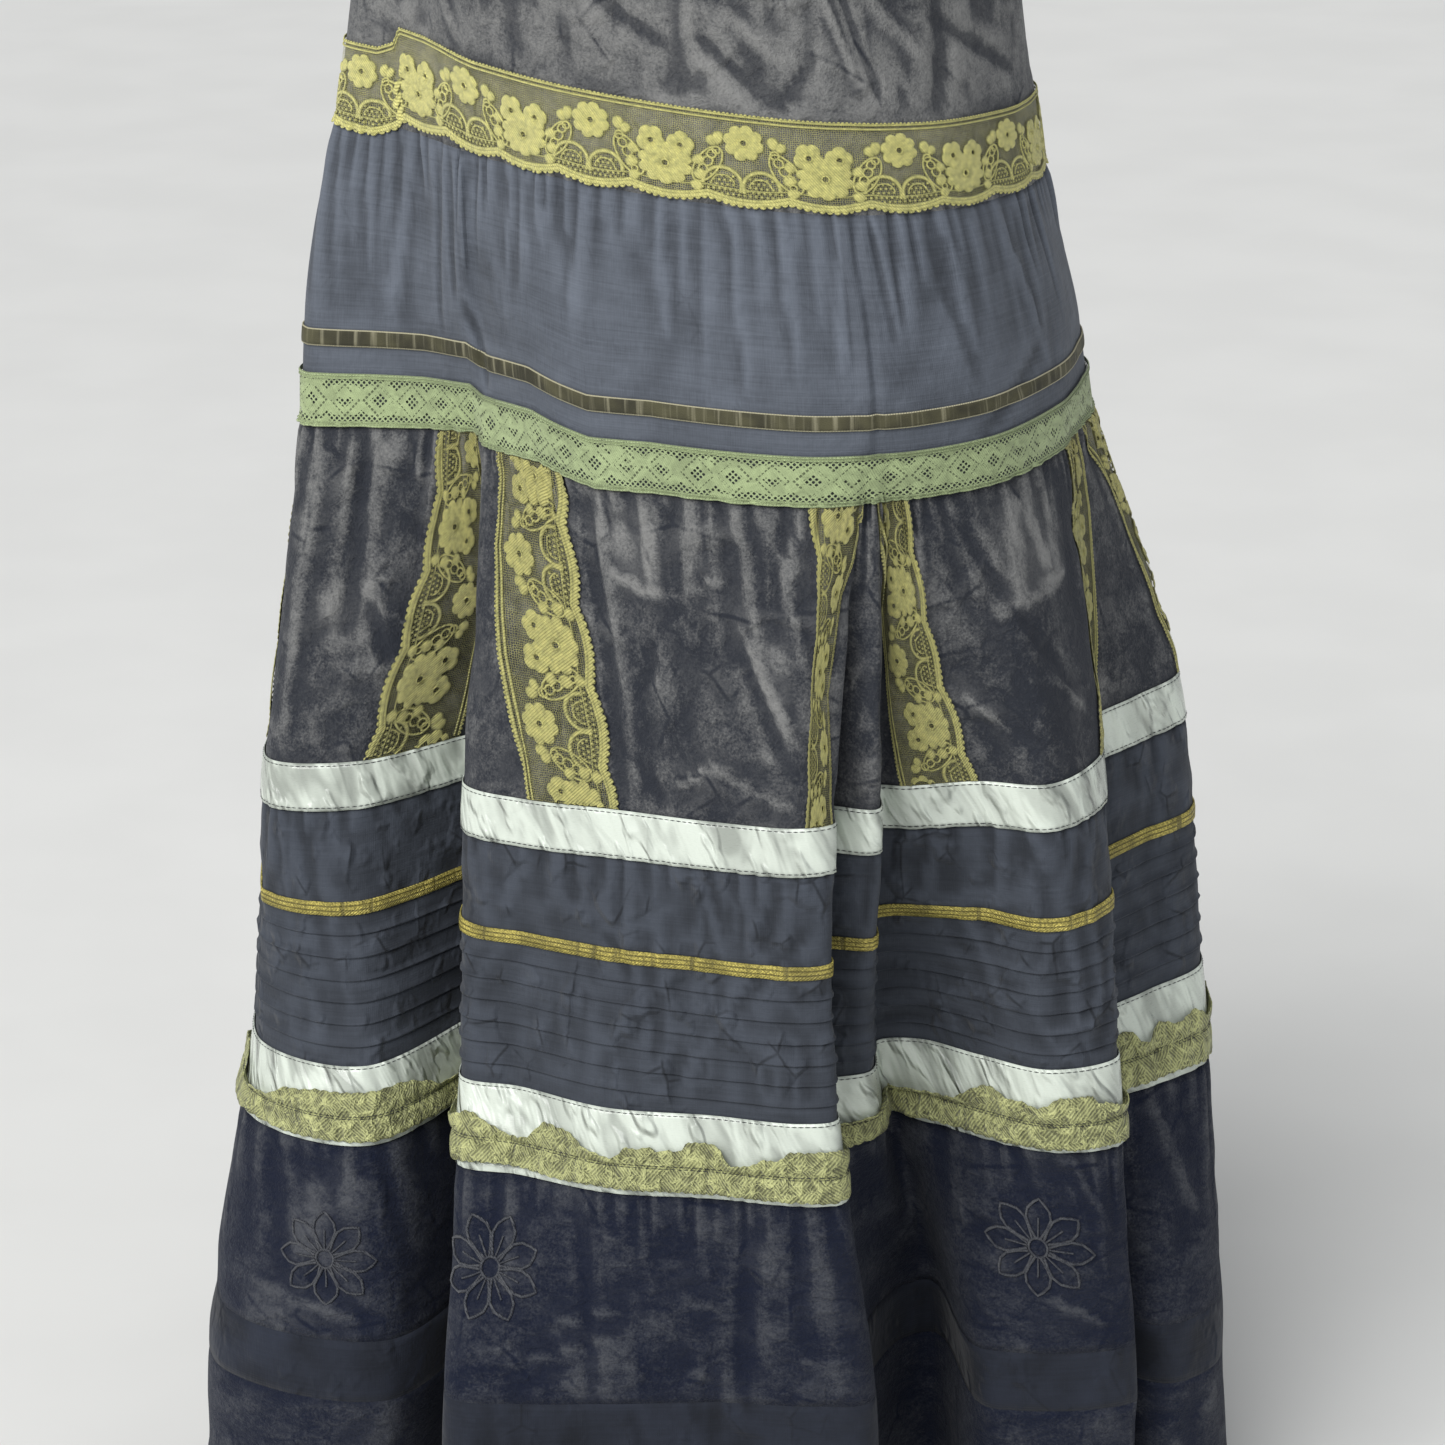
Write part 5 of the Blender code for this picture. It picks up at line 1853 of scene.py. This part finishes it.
def stitch_piece(length, thickness):
    """One visible stitch of a seam, slim towards its ends."""
    points = [
        (reach * length, width * thickness / 2 * math.cos(angle), width * thickness / 2 * math.sin(angle))
        for reach, width in STITCH_PROFILE
        for angle in np.arange(STITCH_SIDES) * math.tau / STITCH_SIDES
    ]
    sides = np.roll(grid_faces(len(STITCH_PROFILE), STITCH_SIDES, closed=True), -1, axis=1)
    corners = list(range(len(points)))
    ends = [corners[:STITCH_SIDES], corners[:-STITCH_SIDES - 1:-1]]
    return bare_mesh("stitch", points, [], sides.tolist() + ends)


def along_path(name, path, piece, finish, pitch, unevenness, seed):
    """Copies of a piece along a path, as one mesh; the path and the piece go."""
    grown = grow(
        path_object(path), PATH_TREE, name, finish,
        Piece=piece, Pitch=pitch, Unevenness=unevenness, Seed=seed,
    )
    discard(piece)
    return grown


# Small loops along the lace's lower and upper edges
LOW_PICOT_RADIUS = 1.75
LOW_PICOT_SPACING = 1.6
HIGH_PICOT_RADIUS = 1.1
PICOT_SEAT = 0.4
PICOT_PATH_STEP = 1.5
PICOT_UNEVENNESS = 0.15
LOW_PICOT_SEED = 5
HIGH_PICOT_SEED = 6


def flat_lace(repeats, shift):
    """A flat length of lace with its picots, its pattern shifted along."""
    body = grow(
        lace_repeat(), LINE_TREE, "flat lace", "chartreuse stitches",
        Count=repeats, Pitch=LACE_PITCH * MM,
    )
    along = np.arange(0.0, repeats * LACE_PITCH, PICOT_PATH_STEP)
    low = BORDER_TOP + BORDER_WIDTH + scallop(along) - PICOT_SEAT
    rise = sizes().lace_relief / MM
    pitch = sizes().picot_pitch
    parts = [body]
    edges = [
        (low, LOW_PICOT_RADIUS, 1, pitch * LOW_PICOT_SPACING, LOW_PICOT_SEED),
        (PICOT_SEAT, HIGH_PICOT_RADIUS, -1, pitch, HIGH_PICOT_SEED),
    ]
    for down, radius, side, step, seed in edges:
        path = np.column_stack([level_path(along, down), 0 * along])
        picot = picot_piece(radius, rise, side)
        parts.append(
            along_path("picots", path, picot, "chartreuse stitches", step, PICOT_UNEVENNESS, seed)
        )
    lace = joined("lace", parts)
    points = read_points(lace.data)
    points[:, 0] += shift * MM
    lace.data.vertices.foreach_set("co", points.ravel())
    return lace


NET_ROWS = 12


def lace_ground(name, placer, length, columns, finish):
    """The net under a lace's stitches, cut to its border."""
    along = np.linspace(0.0, length, columns)
    rows = np.linspace(0.0, 1.0, NET_ROWS)[:, None]
    down = rows * (BORDER_TOP + BORDER_WIDTH * 0.5 + scallop(along))[None, :]
    flat = np.broadcast_to(along[None, :], down.shape)
    column, height, out = placer(flat, down, np.zeros_like(down))
    points = place(column, height, out)
    faces = grid_faces(len(down), columns, closed=False)
    return mesh_piece(name, points.reshape(-1, 3), faces, grid_uvs(flat, -down), finish)


# Laces of the skirt

HIP_LACE_REPEATS = 12
HIP_LACE_LENGTH = HIP_LACE_REPEATS * LACE_PITCH
HIP_LACE_MIDDLE = (HIP_LACE_TOP + YOKE_SEAM) / 2
# Column of a single flower at the front, as worn
HIP_FLOWER_COLUMN = 18.1
LACE_DEPTH_SHARE = (HIP_LACE_TOP - YOKE_SEAM) / LACE_WIDTH
HIP_NET_COLUMNS = 620
# How far the hip lace hangs below its seam line, from the left side over the front: column and drop
HIP_LACE_DIPS = [
    (-8.0, 0.0), (-3.0, 7.0), (0.0, 11.0), (2.4, 9.5), (3.3, 5.0), (3.7, -3.0),
    (6.0, -3.4), (9.0, -1.6), (13.0, 0.0), (60.0, 0.0),
]
# How much of a dip is lost towards the lace's lower edge
DIP_LOSS = 0.35


def hip_lace_place(along, down, rise):
    """Where a flat place of the hip lace lies."""
    columns, girths = girths_at(HIP_LACE_MIDDLE)
    start = np.interp(HIP_FLOWER_COLUMN, columns, girths) / girths[-1]
    column = column_at(along / HIP_LACE_LENGTH + start, HIP_LACE_MIDDLE)
    drop = read_table(HIP_LACE_DIPS, from_left(column)) * (1 - DIP_LOSS * down / LACE_WIDTH)
    height = HIP_LACE_TOP - drop - down * LACE_DEPTH_SHARE
    return column, height, sizes().trim_lift / MM + rise


def build_hip_lace():
    """The scalloped lace over the yoke seam."""
    net = lace_ground("hip_lace_net", hip_lace_place, HIP_LACE_LENGTH, HIP_NET_COLUMNS, "chartreuse net")
    wear(net, "chartreuse_lace", ["hip_lace"])
    flat = flat_lace(HIP_LACE_REPEATS, 0.0)
    wear(wrapped(flat, "hip_lace_stitches", hip_lace_place, "chartreuse stitches"), "chartreuse_lace")


STRIP_LENGTH = HIP_SEAM - UPPER_SATIN_TOP
STRIP_REPEATS = 5
STRIP_NET_COLUMNS = 54


def strip_placer(strip):
    """The function that lays a flat lace on one upright strip."""

    def placer(along, down, rise):
        height = HIP_SEAM - along if strip.scallops_first else UPPER_SATIN_TOP + along
        edges = [np.interp(-height, np.negative(STRIP_HEIGHTS), edge) for edge in (strip.first, strip.last)]
        scalloped, straight = edges if strip.scallops_first else edges[::-1]
        column = straight + (scalloped - straight) * (down / LACE_WIDTH)
        return column, height, sizes().trim_lift / MM + rise

    return placer


def build_strip(strip):
    """One upright strip of the same lace."""
    placer = strip_placer(strip)
    net = lace_ground(f"strip_{strip.name}_net", placer, STRIP_LENGTH, STRIP_NET_COLUMNS, "shaded net")
    wear(net, "chartreuse_lace", [f"lace_strip_{strip.name}"])
    flat = flat_lace(STRIP_REPEATS, strip.shift)
    name = f"strip_{strip.name}_stitches"
    wear(wrapped(flat, name, placer, "shaded stitches", STRIP_LENGTH), "chartreuse_lace")


# Green lace: place down and width of each cord

GREEN_CORDS = [(0.8, 1.3), (2.4, 0.8), (23.6, 0.8), (25.2, 1.3)]
GREEN_LIFT = 1.6
GREEN_STEP = 2.4


def build_green_lace():
    """The dense sage lace with cord edges over the hip seam."""
    heights = rows_between(GREEN_LACE_TOP, HIP_SEAM, FINE_ROW_STEP)
    cloth = shell("green_lace_cloth", ROUND, heights, "sage openwork", GREEN_LIFT, 0)
    wear(cloth, "sage_lace", ["green_lace"])
    relief = Relief(sizes().lace_relief / MM)
    along = np.linspace(0.0, GIRTH, int(GIRTH / GREEN_STEP))
    for down, width in GREEN_CORDS:
        relief.ribbon(level_path(along, down), width, 1.0)

    def green_place(along, down, rise):
        column = np.interp(along, RING_GIRTHS, RING_COLUMNS)
        return column, GREEN_LACE_TOP - down, GREEN_LIFT + rise

    cords = relief.piece("green cords")
    wear(wrapped(cords, "green_lace_cords", green_place, "sage stitches"), "sage_lace")


# Ruffle

RUFFLE_COLUMNS = 900
RUFFLE_BASE = 2.7
# How far the upper edge stands above the stitches, least and most, and the lower edge below them
RUFFLE_LEAST_UP = 2.0
RUFFLE_MOST_UP = 13.0
RUFFLE_DOWN = 12.6
RUFFLE_DOWN_LOSS = 2.0
RUFFLE_WAVE_LENGTH = 22.0
RUFFLE_STEPS = 6
RUFFLE_PUCKER = 0.7
RUFFLE_PUCKER_LENGTH = 4.6
RUFFLE_SWELL = 1.1
RUFFLE_PINCH = 0.5
RUFFLE_TOOTH = 1.1
RUFFLE_TOOTH_PITCH = 5.2
RUFFLE_THICKNESS = 0.0005
# Least height of the ruffle above the cloth
RUFFLE_FLOOR = RUFFLE_BASE - 0.5
UPPER_SEED = 71
LOWER_SEED = 72
PUCKER_SEED = 73
FINE_SEED = 75
# How the edges flare besides: length and reach of the flare, its growth outwards, and its seed
Flare = namedtuple("Flare", "length reach power seed")
UPPER_FLARE = Flare(7.0, 1.6, 1.3, 76)
LOWER_FLARE = Flare(6.0, 1.8, 1.2, 77)
# The upper edge's waves, cut off below and above
WAVE_LOW = 0.26
WAVE_SPAN = 0.46


def build_ruffle():
    """The olive lace ruffle, stitched along its middle, both edges waving and scalloped."""
    columns = spread_columns(RUFFLE_COLUMNS)
    column = columns[:-1][None, :]
    across = girth_of(column)
    stretch = sizes().ruffle_wave / MM

    def waves(length, seed):
        return lattice_noise(across, 0 * across, length, seed)

    def out_at(share, wave, flare):
        swell = RUFFLE_SWELL * np.sin(np.pi * share**0.7) - RUFFLE_PINCH * (1 - share) ** 6
        fan = (waves(flare.length, flare.seed) - 0.5) * flare.reach
        return RUFFLE_BASE + pucker + swell + share**flare.power * (wave * stretch + fan)

    high = waves(RUFFLE_WAVE_LENGTH, UPPER_SEED) * 0.7 + waves(RUFFLE_WAVE_LENGTH / 2.2, FINE_SEED) * 0.3
    high = smooth((high - WAVE_LOW) / WAVE_SPAN)
    low = waves(RUFFLE_WAVE_LENGTH * 0.9, LOWER_SEED)
    pucker = (waves(RUFFLE_PUCKER_LENGTH, PUCKER_SEED) - 0.5) * 2 * RUFFLE_PUCKER
    tooth = RUFFLE_TOOTH * np.abs(np.sin(np.pi * across / RUFFLE_TOOTH_PITCH))
    above = np.linspace(1, 0, RUFFLE_STEPS + 1)[:, None]
    below = np.linspace(0, 1, RUFFLE_STEPS + 1)[1:, None]
    reach_up = RUFFLE_LEAST_UP + (RUFFLE_MOST_UP - RUFFLE_LEAST_UP) * high + tooth
    reach_down = RUFFLE_DOWN - RUFFLE_DOWN_LOSS * low + tooth
    heights = RUFFLE_STITCH + np.concatenate([reach_up * above, -reach_down * below])
    out = np.concatenate([out_at(above, 1 - high, UPPER_FLARE), out_at(below, low, LOWER_FLARE)])
    out = np.maximum(out, RUFFLE_FLOOR)
    item = shell("ruffle_lace", columns, heights, "olive lace", out, RUFFLE_THICKNESS)
    wear(item, "olive_ruffle", ["ruffle"])


# Flowers of the bottom tier: round petals outlined in the velvet's own colour

Tonal = namedtuple("Tonal", "column height half_width half_height petals turn")
TONAL_FLOWERS = [Tonal(*values) for values in (
    (41.9, -776, 29.0, 25.0, 8, 8), (12.3, -768, 27.0, 25.0, 8, 22),
    (2.6, -786, 28.0, 25.0, 8, 0), (58.4, -784, 28.0, 25.0, 8, 14),
    (66.0, -776, 28.0, 25.0, 8, 30), (77.6, -786, 28.0, 25.0, 8, 5),
    (85.0, -774, 27.0, 24.0, 8, 18),
)]
TONAL_RING = 0.20
TONAL_CORD = 1.5
TONAL_LIFT = 0.5
TONAL_SPREAD = 1.2
# Reach of the points of a petal's middle vein
TONAL_VEIN = (TONAL_RING, 0.4, 0.62)
# Half outline of a petal: reach from the ring to the tip, and side
TONAL_PETAL = [(0.0, 0.04), (0.25, 0.13), (0.5, 0.19), (0.72, 0.17), (0.90, 0.08), (1.0, 0.0)]


def build_tonal_flower(flower, name):
    """One outlined flower on the bottom tier."""
    relief = Relief(sizes().lace_relief / MM)
    for petal in range(flower.petals):
        ahead, aside = heading_at(math.radians(flower.turn) + math.tau * petal / flower.petals)
        size = np.array([flower.half_width, flower.half_height])
        path = [
            (ahead * (TONAL_RING + (1 - TONAL_RING) * reach) + aside * side * TONAL_SPREAD) * size
            for reach, side in mirrored(TONAL_PETAL)
        ]
        relief.ribbon(np.array(path), TONAL_CORD, 1.2)
        vein = np.array([ahead * reach * size for reach in TONAL_VEIN])
        relief.ribbon(vein, TONAL_CORD * 0.7, 0.8)
    radius = flower.half_height * TONAL_RING
    relief.ring(Eyelet(0.0, 0.0, radius, radius, 0, TONAL_CORD), 1.2)
    columns, girths = girths_at(flower.height)

    def placer(along, down, rise):
        centre = np.interp(flower.column, columns, girths)
        column = np.interp(np.mod(centre + along, girths[-1]), girths, columns)
        return column, flower.height - down, TONAL_LIFT + rise

    wear(wrapped(relief.piece(name), name, placer, "tonal stitches"), "black_velvet")


# Seams: dark stitches along the satin bands and the ruffle

EDGE_TO_SEAM = 1.6
SATIN_STITCH_LIFT = 1.35
RUFFLE_STITCH_LIFT = 3.1
Seam = namedtuple("Seam", "name height out slot seed")
SEAMS = [Seam(*values) for values in (
    ("satin_upper_top_seam", UPPER_SATIN_TOP - EDGE_TO_SEAM, SATIN_STITCH_LIFT, "pale_satin", 81),
    ("satin_upper_bottom_seam", UPPER_SATIN_SEAM + EDGE_TO_SEAM, SATIN_STITCH_LIFT, "pale_satin", 82),
    ("satin_lower_top_seam", LOWER_SATIN_TOP - EDGE_TO_SEAM, SATIN_STITCH_LIFT, "pale_satin", 83),
    ("ruffle_seam_upper", RUFFLE_STITCH + 0.55, RUFFLE_STITCH_LIFT, "olive_ruffle", 84),
    ("ruffle_seam_lower", RUFFLE_STITCH - 0.75, RUFFLE_STITCH_LIFT, "olive_ruffle", 85),
)]
STITCH_LENGTH = 3.1
STITCH_THICKNESS = 0.6
STITCH_UNEVENNESS = 0.2


def build_seam(seam):
    """A row of stitches all round."""
    columns = spread_columns(ROUND_COUNT * 2)
    path = place(columns, np.full_like(columns, seam.height), seam.out)
    stitch = stitch_piece(STITCH_LENGTH, STITCH_THICKNESS)
    pitch = sizes().stitch_pitch
    row = along_path(seam.name, path, stitch, "dark thread", pitch, STITCH_UNEVENNESS, seam.seed)
    wear(dress(row, "dark thread"), seam.slot)


# Cuts: the flat size of each cloth before it was gathered, and what is sewn on it

Cut = namedtuple("Cut", "name width length held sewn_on")
CUTS = [Cut(*values) for values in (
    ("velvet_waistband", 870, 30, "gathered", ()),
    ("velvet_yoke", 1000, 207, "gathered", ()),
    ("hip_lace_net", 960, 50, "gathered", ("hip_lace_stitches",)),
    ("cotton_hip_tier", 1160, 145, "gathered", ("ribbon_round_hips",)),
    ("green_lace_cloth", 1160, 26, "gathered", ("green_lace_cords",)),
    ("velvet_thigh_tier", 1660, 186, "gathered", ()),
    ("satin_band_upper", 1650, 25, "gathered", ("satin_upper_top_seam", "satin_upper_bottom_seam")),
    ("pintuck_tier", 1970, 184, "gathered", ("gold_trim_band",)),
    ("satin_band_lower", 1960, 43, "gathered", ("satin_lower_top_seam",)),
    ("ruffle_lace", 2300, 27, "gathered", ("ruffle_seam_upper", "ruffle_seam_lower")),
    ("velvet_bottom_tier", 2290, 106, "gathered", ()),
    ("cotton_band", 2340, 33, "hung", ()),
    ("velvet_hem_tier", 2360, 76, "hung", ()),
)]


def declare_cuts():
    """Work out each cloth's cut width in metres and each lace strip's width from its net's area, and keep
    none of them.
    """
    for cut in CUTS:
        cut.width * MM
    for strip in STRIPS:
        net = bpy.data.objects[f"strip_{strip.name}_net"]
        width = area_of(net) / (STRIP_LENGTH * MM)


# Stage

CAMERA_DOWN = 20.0
CAMERA_TARGET = (0.011, -0.171, -0.474)
CAMERA_DISTANCE = 2.16
CAMERA_LENS = 108.7
CAMERA_SENSOR = 36.0
FLOOR_SIZE = 16.0

Lamp = namedtuple("Lamp", "name place aim size power colour")
LAMPS = [Lamp(*values) for values in (
    ("window light", (-2.2, -1.9, 0.9), (0.0, 0.0, -0.45), 1.0, 27, (1.0, 0.985, 0.96)),
    ("fill light", (2.3, -1.5, 0.7), (0.0, 0.0, -0.5), 2.2, 10, (0.93, 0.96, 1.0)),
)]
CEILING_PLACE = (-1.3, -2.0, 2.6)
CEILING_STRENGTH = 2.5
CEILING_SOFTNESS = 45.0
SKY_COLOUR = (0.95, 0.97, 1.0, 1.0)
SKY_STRENGTH = 0.34


def aimed(place, aim):
    """Matrix of an object that looks from a place at an aim."""
    place = Vector(place)
    turn = (Vector(aim) - place).to_track_quat("-Z", "Y")
    return Matrix.Translation(place) @ turn.to_matrix().to_4x4()


def build_camera():
    """The camera at the photograph's angle."""
    lens = bpy.data.cameras.new("photo camera")
    lens.lens = CAMERA_LENS
    lens.sensor_width = CAMERA_SENSOR
    down = math.radians(CAMERA_DOWN)
    target = Vector(CAMERA_TARGET)
    camera = placed("photo camera", lens)
    away = Vector((0, -math.cos(down), math.sin(down))) * CAMERA_DISTANCE
    camera.matrix_world = aimed(target + away, target)
    bpy.context.scene.camera = camera


def build_lights():
    """Soft area lights and a pale sky."""
    for lamp in LAMPS:
        light = bpy.data.lights.new(lamp.name, "AREA")
        light.shape = "DISK"
        light.size = lamp.size
        light.energy = lamp.power
        light.color = lamp.colour
        placed(lamp.name, light).matrix_world = aimed(lamp.place, lamp.aim)
    light = bpy.data.lights.new("ceiling light", "SUN")
    light.energy = CEILING_STRENGTH
    light.angle = math.radians(CEILING_SOFTNESS)
    placed("ceiling light", light).matrix_world = aimed(CEILING_PLACE, (0.0, 0.0, 0.0))
    world = bpy.data.worlds.new("studio sky")
    world.use_nodes = True
    sky = world.node_tree.nodes["Background"]
    sky.inputs["Color"].default_value = SKY_COLOUR
    sky.inputs["Strength"].default_value = SKY_STRENGTH
    bpy.context.scene.world = world
    bpy.context.scene.view_settings.view_transform = "Standard"


def build_floor():
    """A wide plain floor."""
    half = FLOOR_SIZE / 2 / MM
    corners = [(-half, -half, FLOOR), (half, -half, FLOOR), (half, half, FLOOR), (-half, half, FLOOR)]
    floor = dress(bare_mesh("studio_floor", corners, [], [(0, 1, 2, 3)]), "pale floor")


# Operators and panel


class SKIRT_OT_tiers(bpy.types.Operator):
    """Waistband, yoke and the gathered tiers of velvet and cotton"""

    bl_idname = "skirt.tiers"
    bl_label = "Tiers"

    def execute(self, context):
        for tier in TIERS:
            build_tier(tier)
        return {"FINISHED"}


class SKIRT_OT_bands(bpy.types.Operator):
    """Velvet ribbon, satin bands and gold trim"""

    bl_idname = "skirt.bands"
    bl_label = "Ribbon, satin and gold"

    def execute(self, context):
        for band in BANDS:
            build_band(band)
        return {"FINISHED"}


class SKIRT_OT_laces(bpy.types.Operator):
    """Hip lace, upright lace strips and green lace"""

    bl_idname = "skirt.laces"
    bl_label = "Laces"

    def execute(self, context):
        build_hip_lace()
        for strip in STRIPS:
            build_strip(strip)
        build_green_lace()
        return {"FINISHED"}


class SKIRT_OT_ruffle(bpy.types.Operator):
    """Lace ruffle over the lower satin band, and the flowers of the bottom tier"""

    bl_idname = "skirt.ruffle"
    bl_label = "Ruffle and flowers"

    def execute(self, context):
        build_ruffle()
        for index, flower in enumerate(TONAL_FLOWERS):
            build_tonal_flower(flower, f"tonal_flower_{index + 1}")
        return {"FINISHED"}


class SKIRT_OT_seams(bpy.types.Operator):
    """Rows of dark stitches"""

    bl_idname = "skirt.seams"
    bl_label = "Stitches"

    def execute(self, context):
        for seam in SEAMS:
            build_seam(seam)
        return {"FINISHED"}


class SKIRT_OT_cuts(bpy.types.Operator):
    """Work out the flat size of each cloth, without keeping it"""

    bl_idname = "skirt.cuts"
    bl_label = "Cut sizes"

    def execute(self, context):
        declare_cuts()
        return {"FINISHED"}


class SKIRT_OT_stage(bpy.types.Operator):
    """Floor, soft lights and the camera"""

    bl_idname = "skirt.stage"
    bl_label = "Stage"

    def execute(self, context):
        build_floor()
        build_lights()
        build_camera()
        return {"FINISHED"}


OPERATORS = [
    SKIRT_OT_tiers,
    SKIRT_OT_bands,
    SKIRT_OT_laces,
    SKIRT_OT_ruffle,
    SKIRT_OT_seams,
    SKIRT_OT_cuts,
    SKIRT_OT_stage,
]


class SKIRT_PT_panel(bpy.types.Panel):
    """Sizes, colours and the pieces to build"""

    bl_idname = "SKIRT_PT_panel"
    bl_label = "Tiered Maxi Skirt"
    bl_space_type = "VIEW_3D"
    bl_region_type = "UI"
    bl_category = "Skirt"

    def draw(self, context):
        for group in (context.scene.skirt_sizes, context.scene.skirt_colours):
            box = self.layout.box()
            for name in group.__annotations__:
                box.prop(group, name)
        for operator in OPERATORS:
            self.layout.operator(operator.bl_idname)


CLASSES = [SkirtSizes, SkirtColours, *OPERATORS, SKIRT_PT_panel]


def register():
    """Add the classes and the two groups of settings."""
    for item in CLASSES:
        bpy.utils.register_class(item)
    bpy.types.Scene.skirt_sizes = bpy.props.PointerProperty(type=SkirtSizes)
    bpy.types.Scene.skirt_colours = bpy.props.PointerProperty(type=SkirtColours)


def unregister():
    """Take them away again."""
    del bpy.types.Scene.skirt_colours
    del bpy.types.Scene.skirt_sizes
    for item in reversed(CLASSES):
        bpy.utils.unregister_class(item)


def main():
    """Build every piece, then the stage."""
    register()
    bpy.ops.skirt.tiers()
    bpy.ops.skirt.bands()
    bpy.ops.skirt.laces()
    bpy.ops.skirt.ruffle()
    bpy.ops.skirt.seams()
    bpy.ops.skirt.cuts()
    bpy.ops.skirt.stage()


if __name__ == "__main__":
    main()
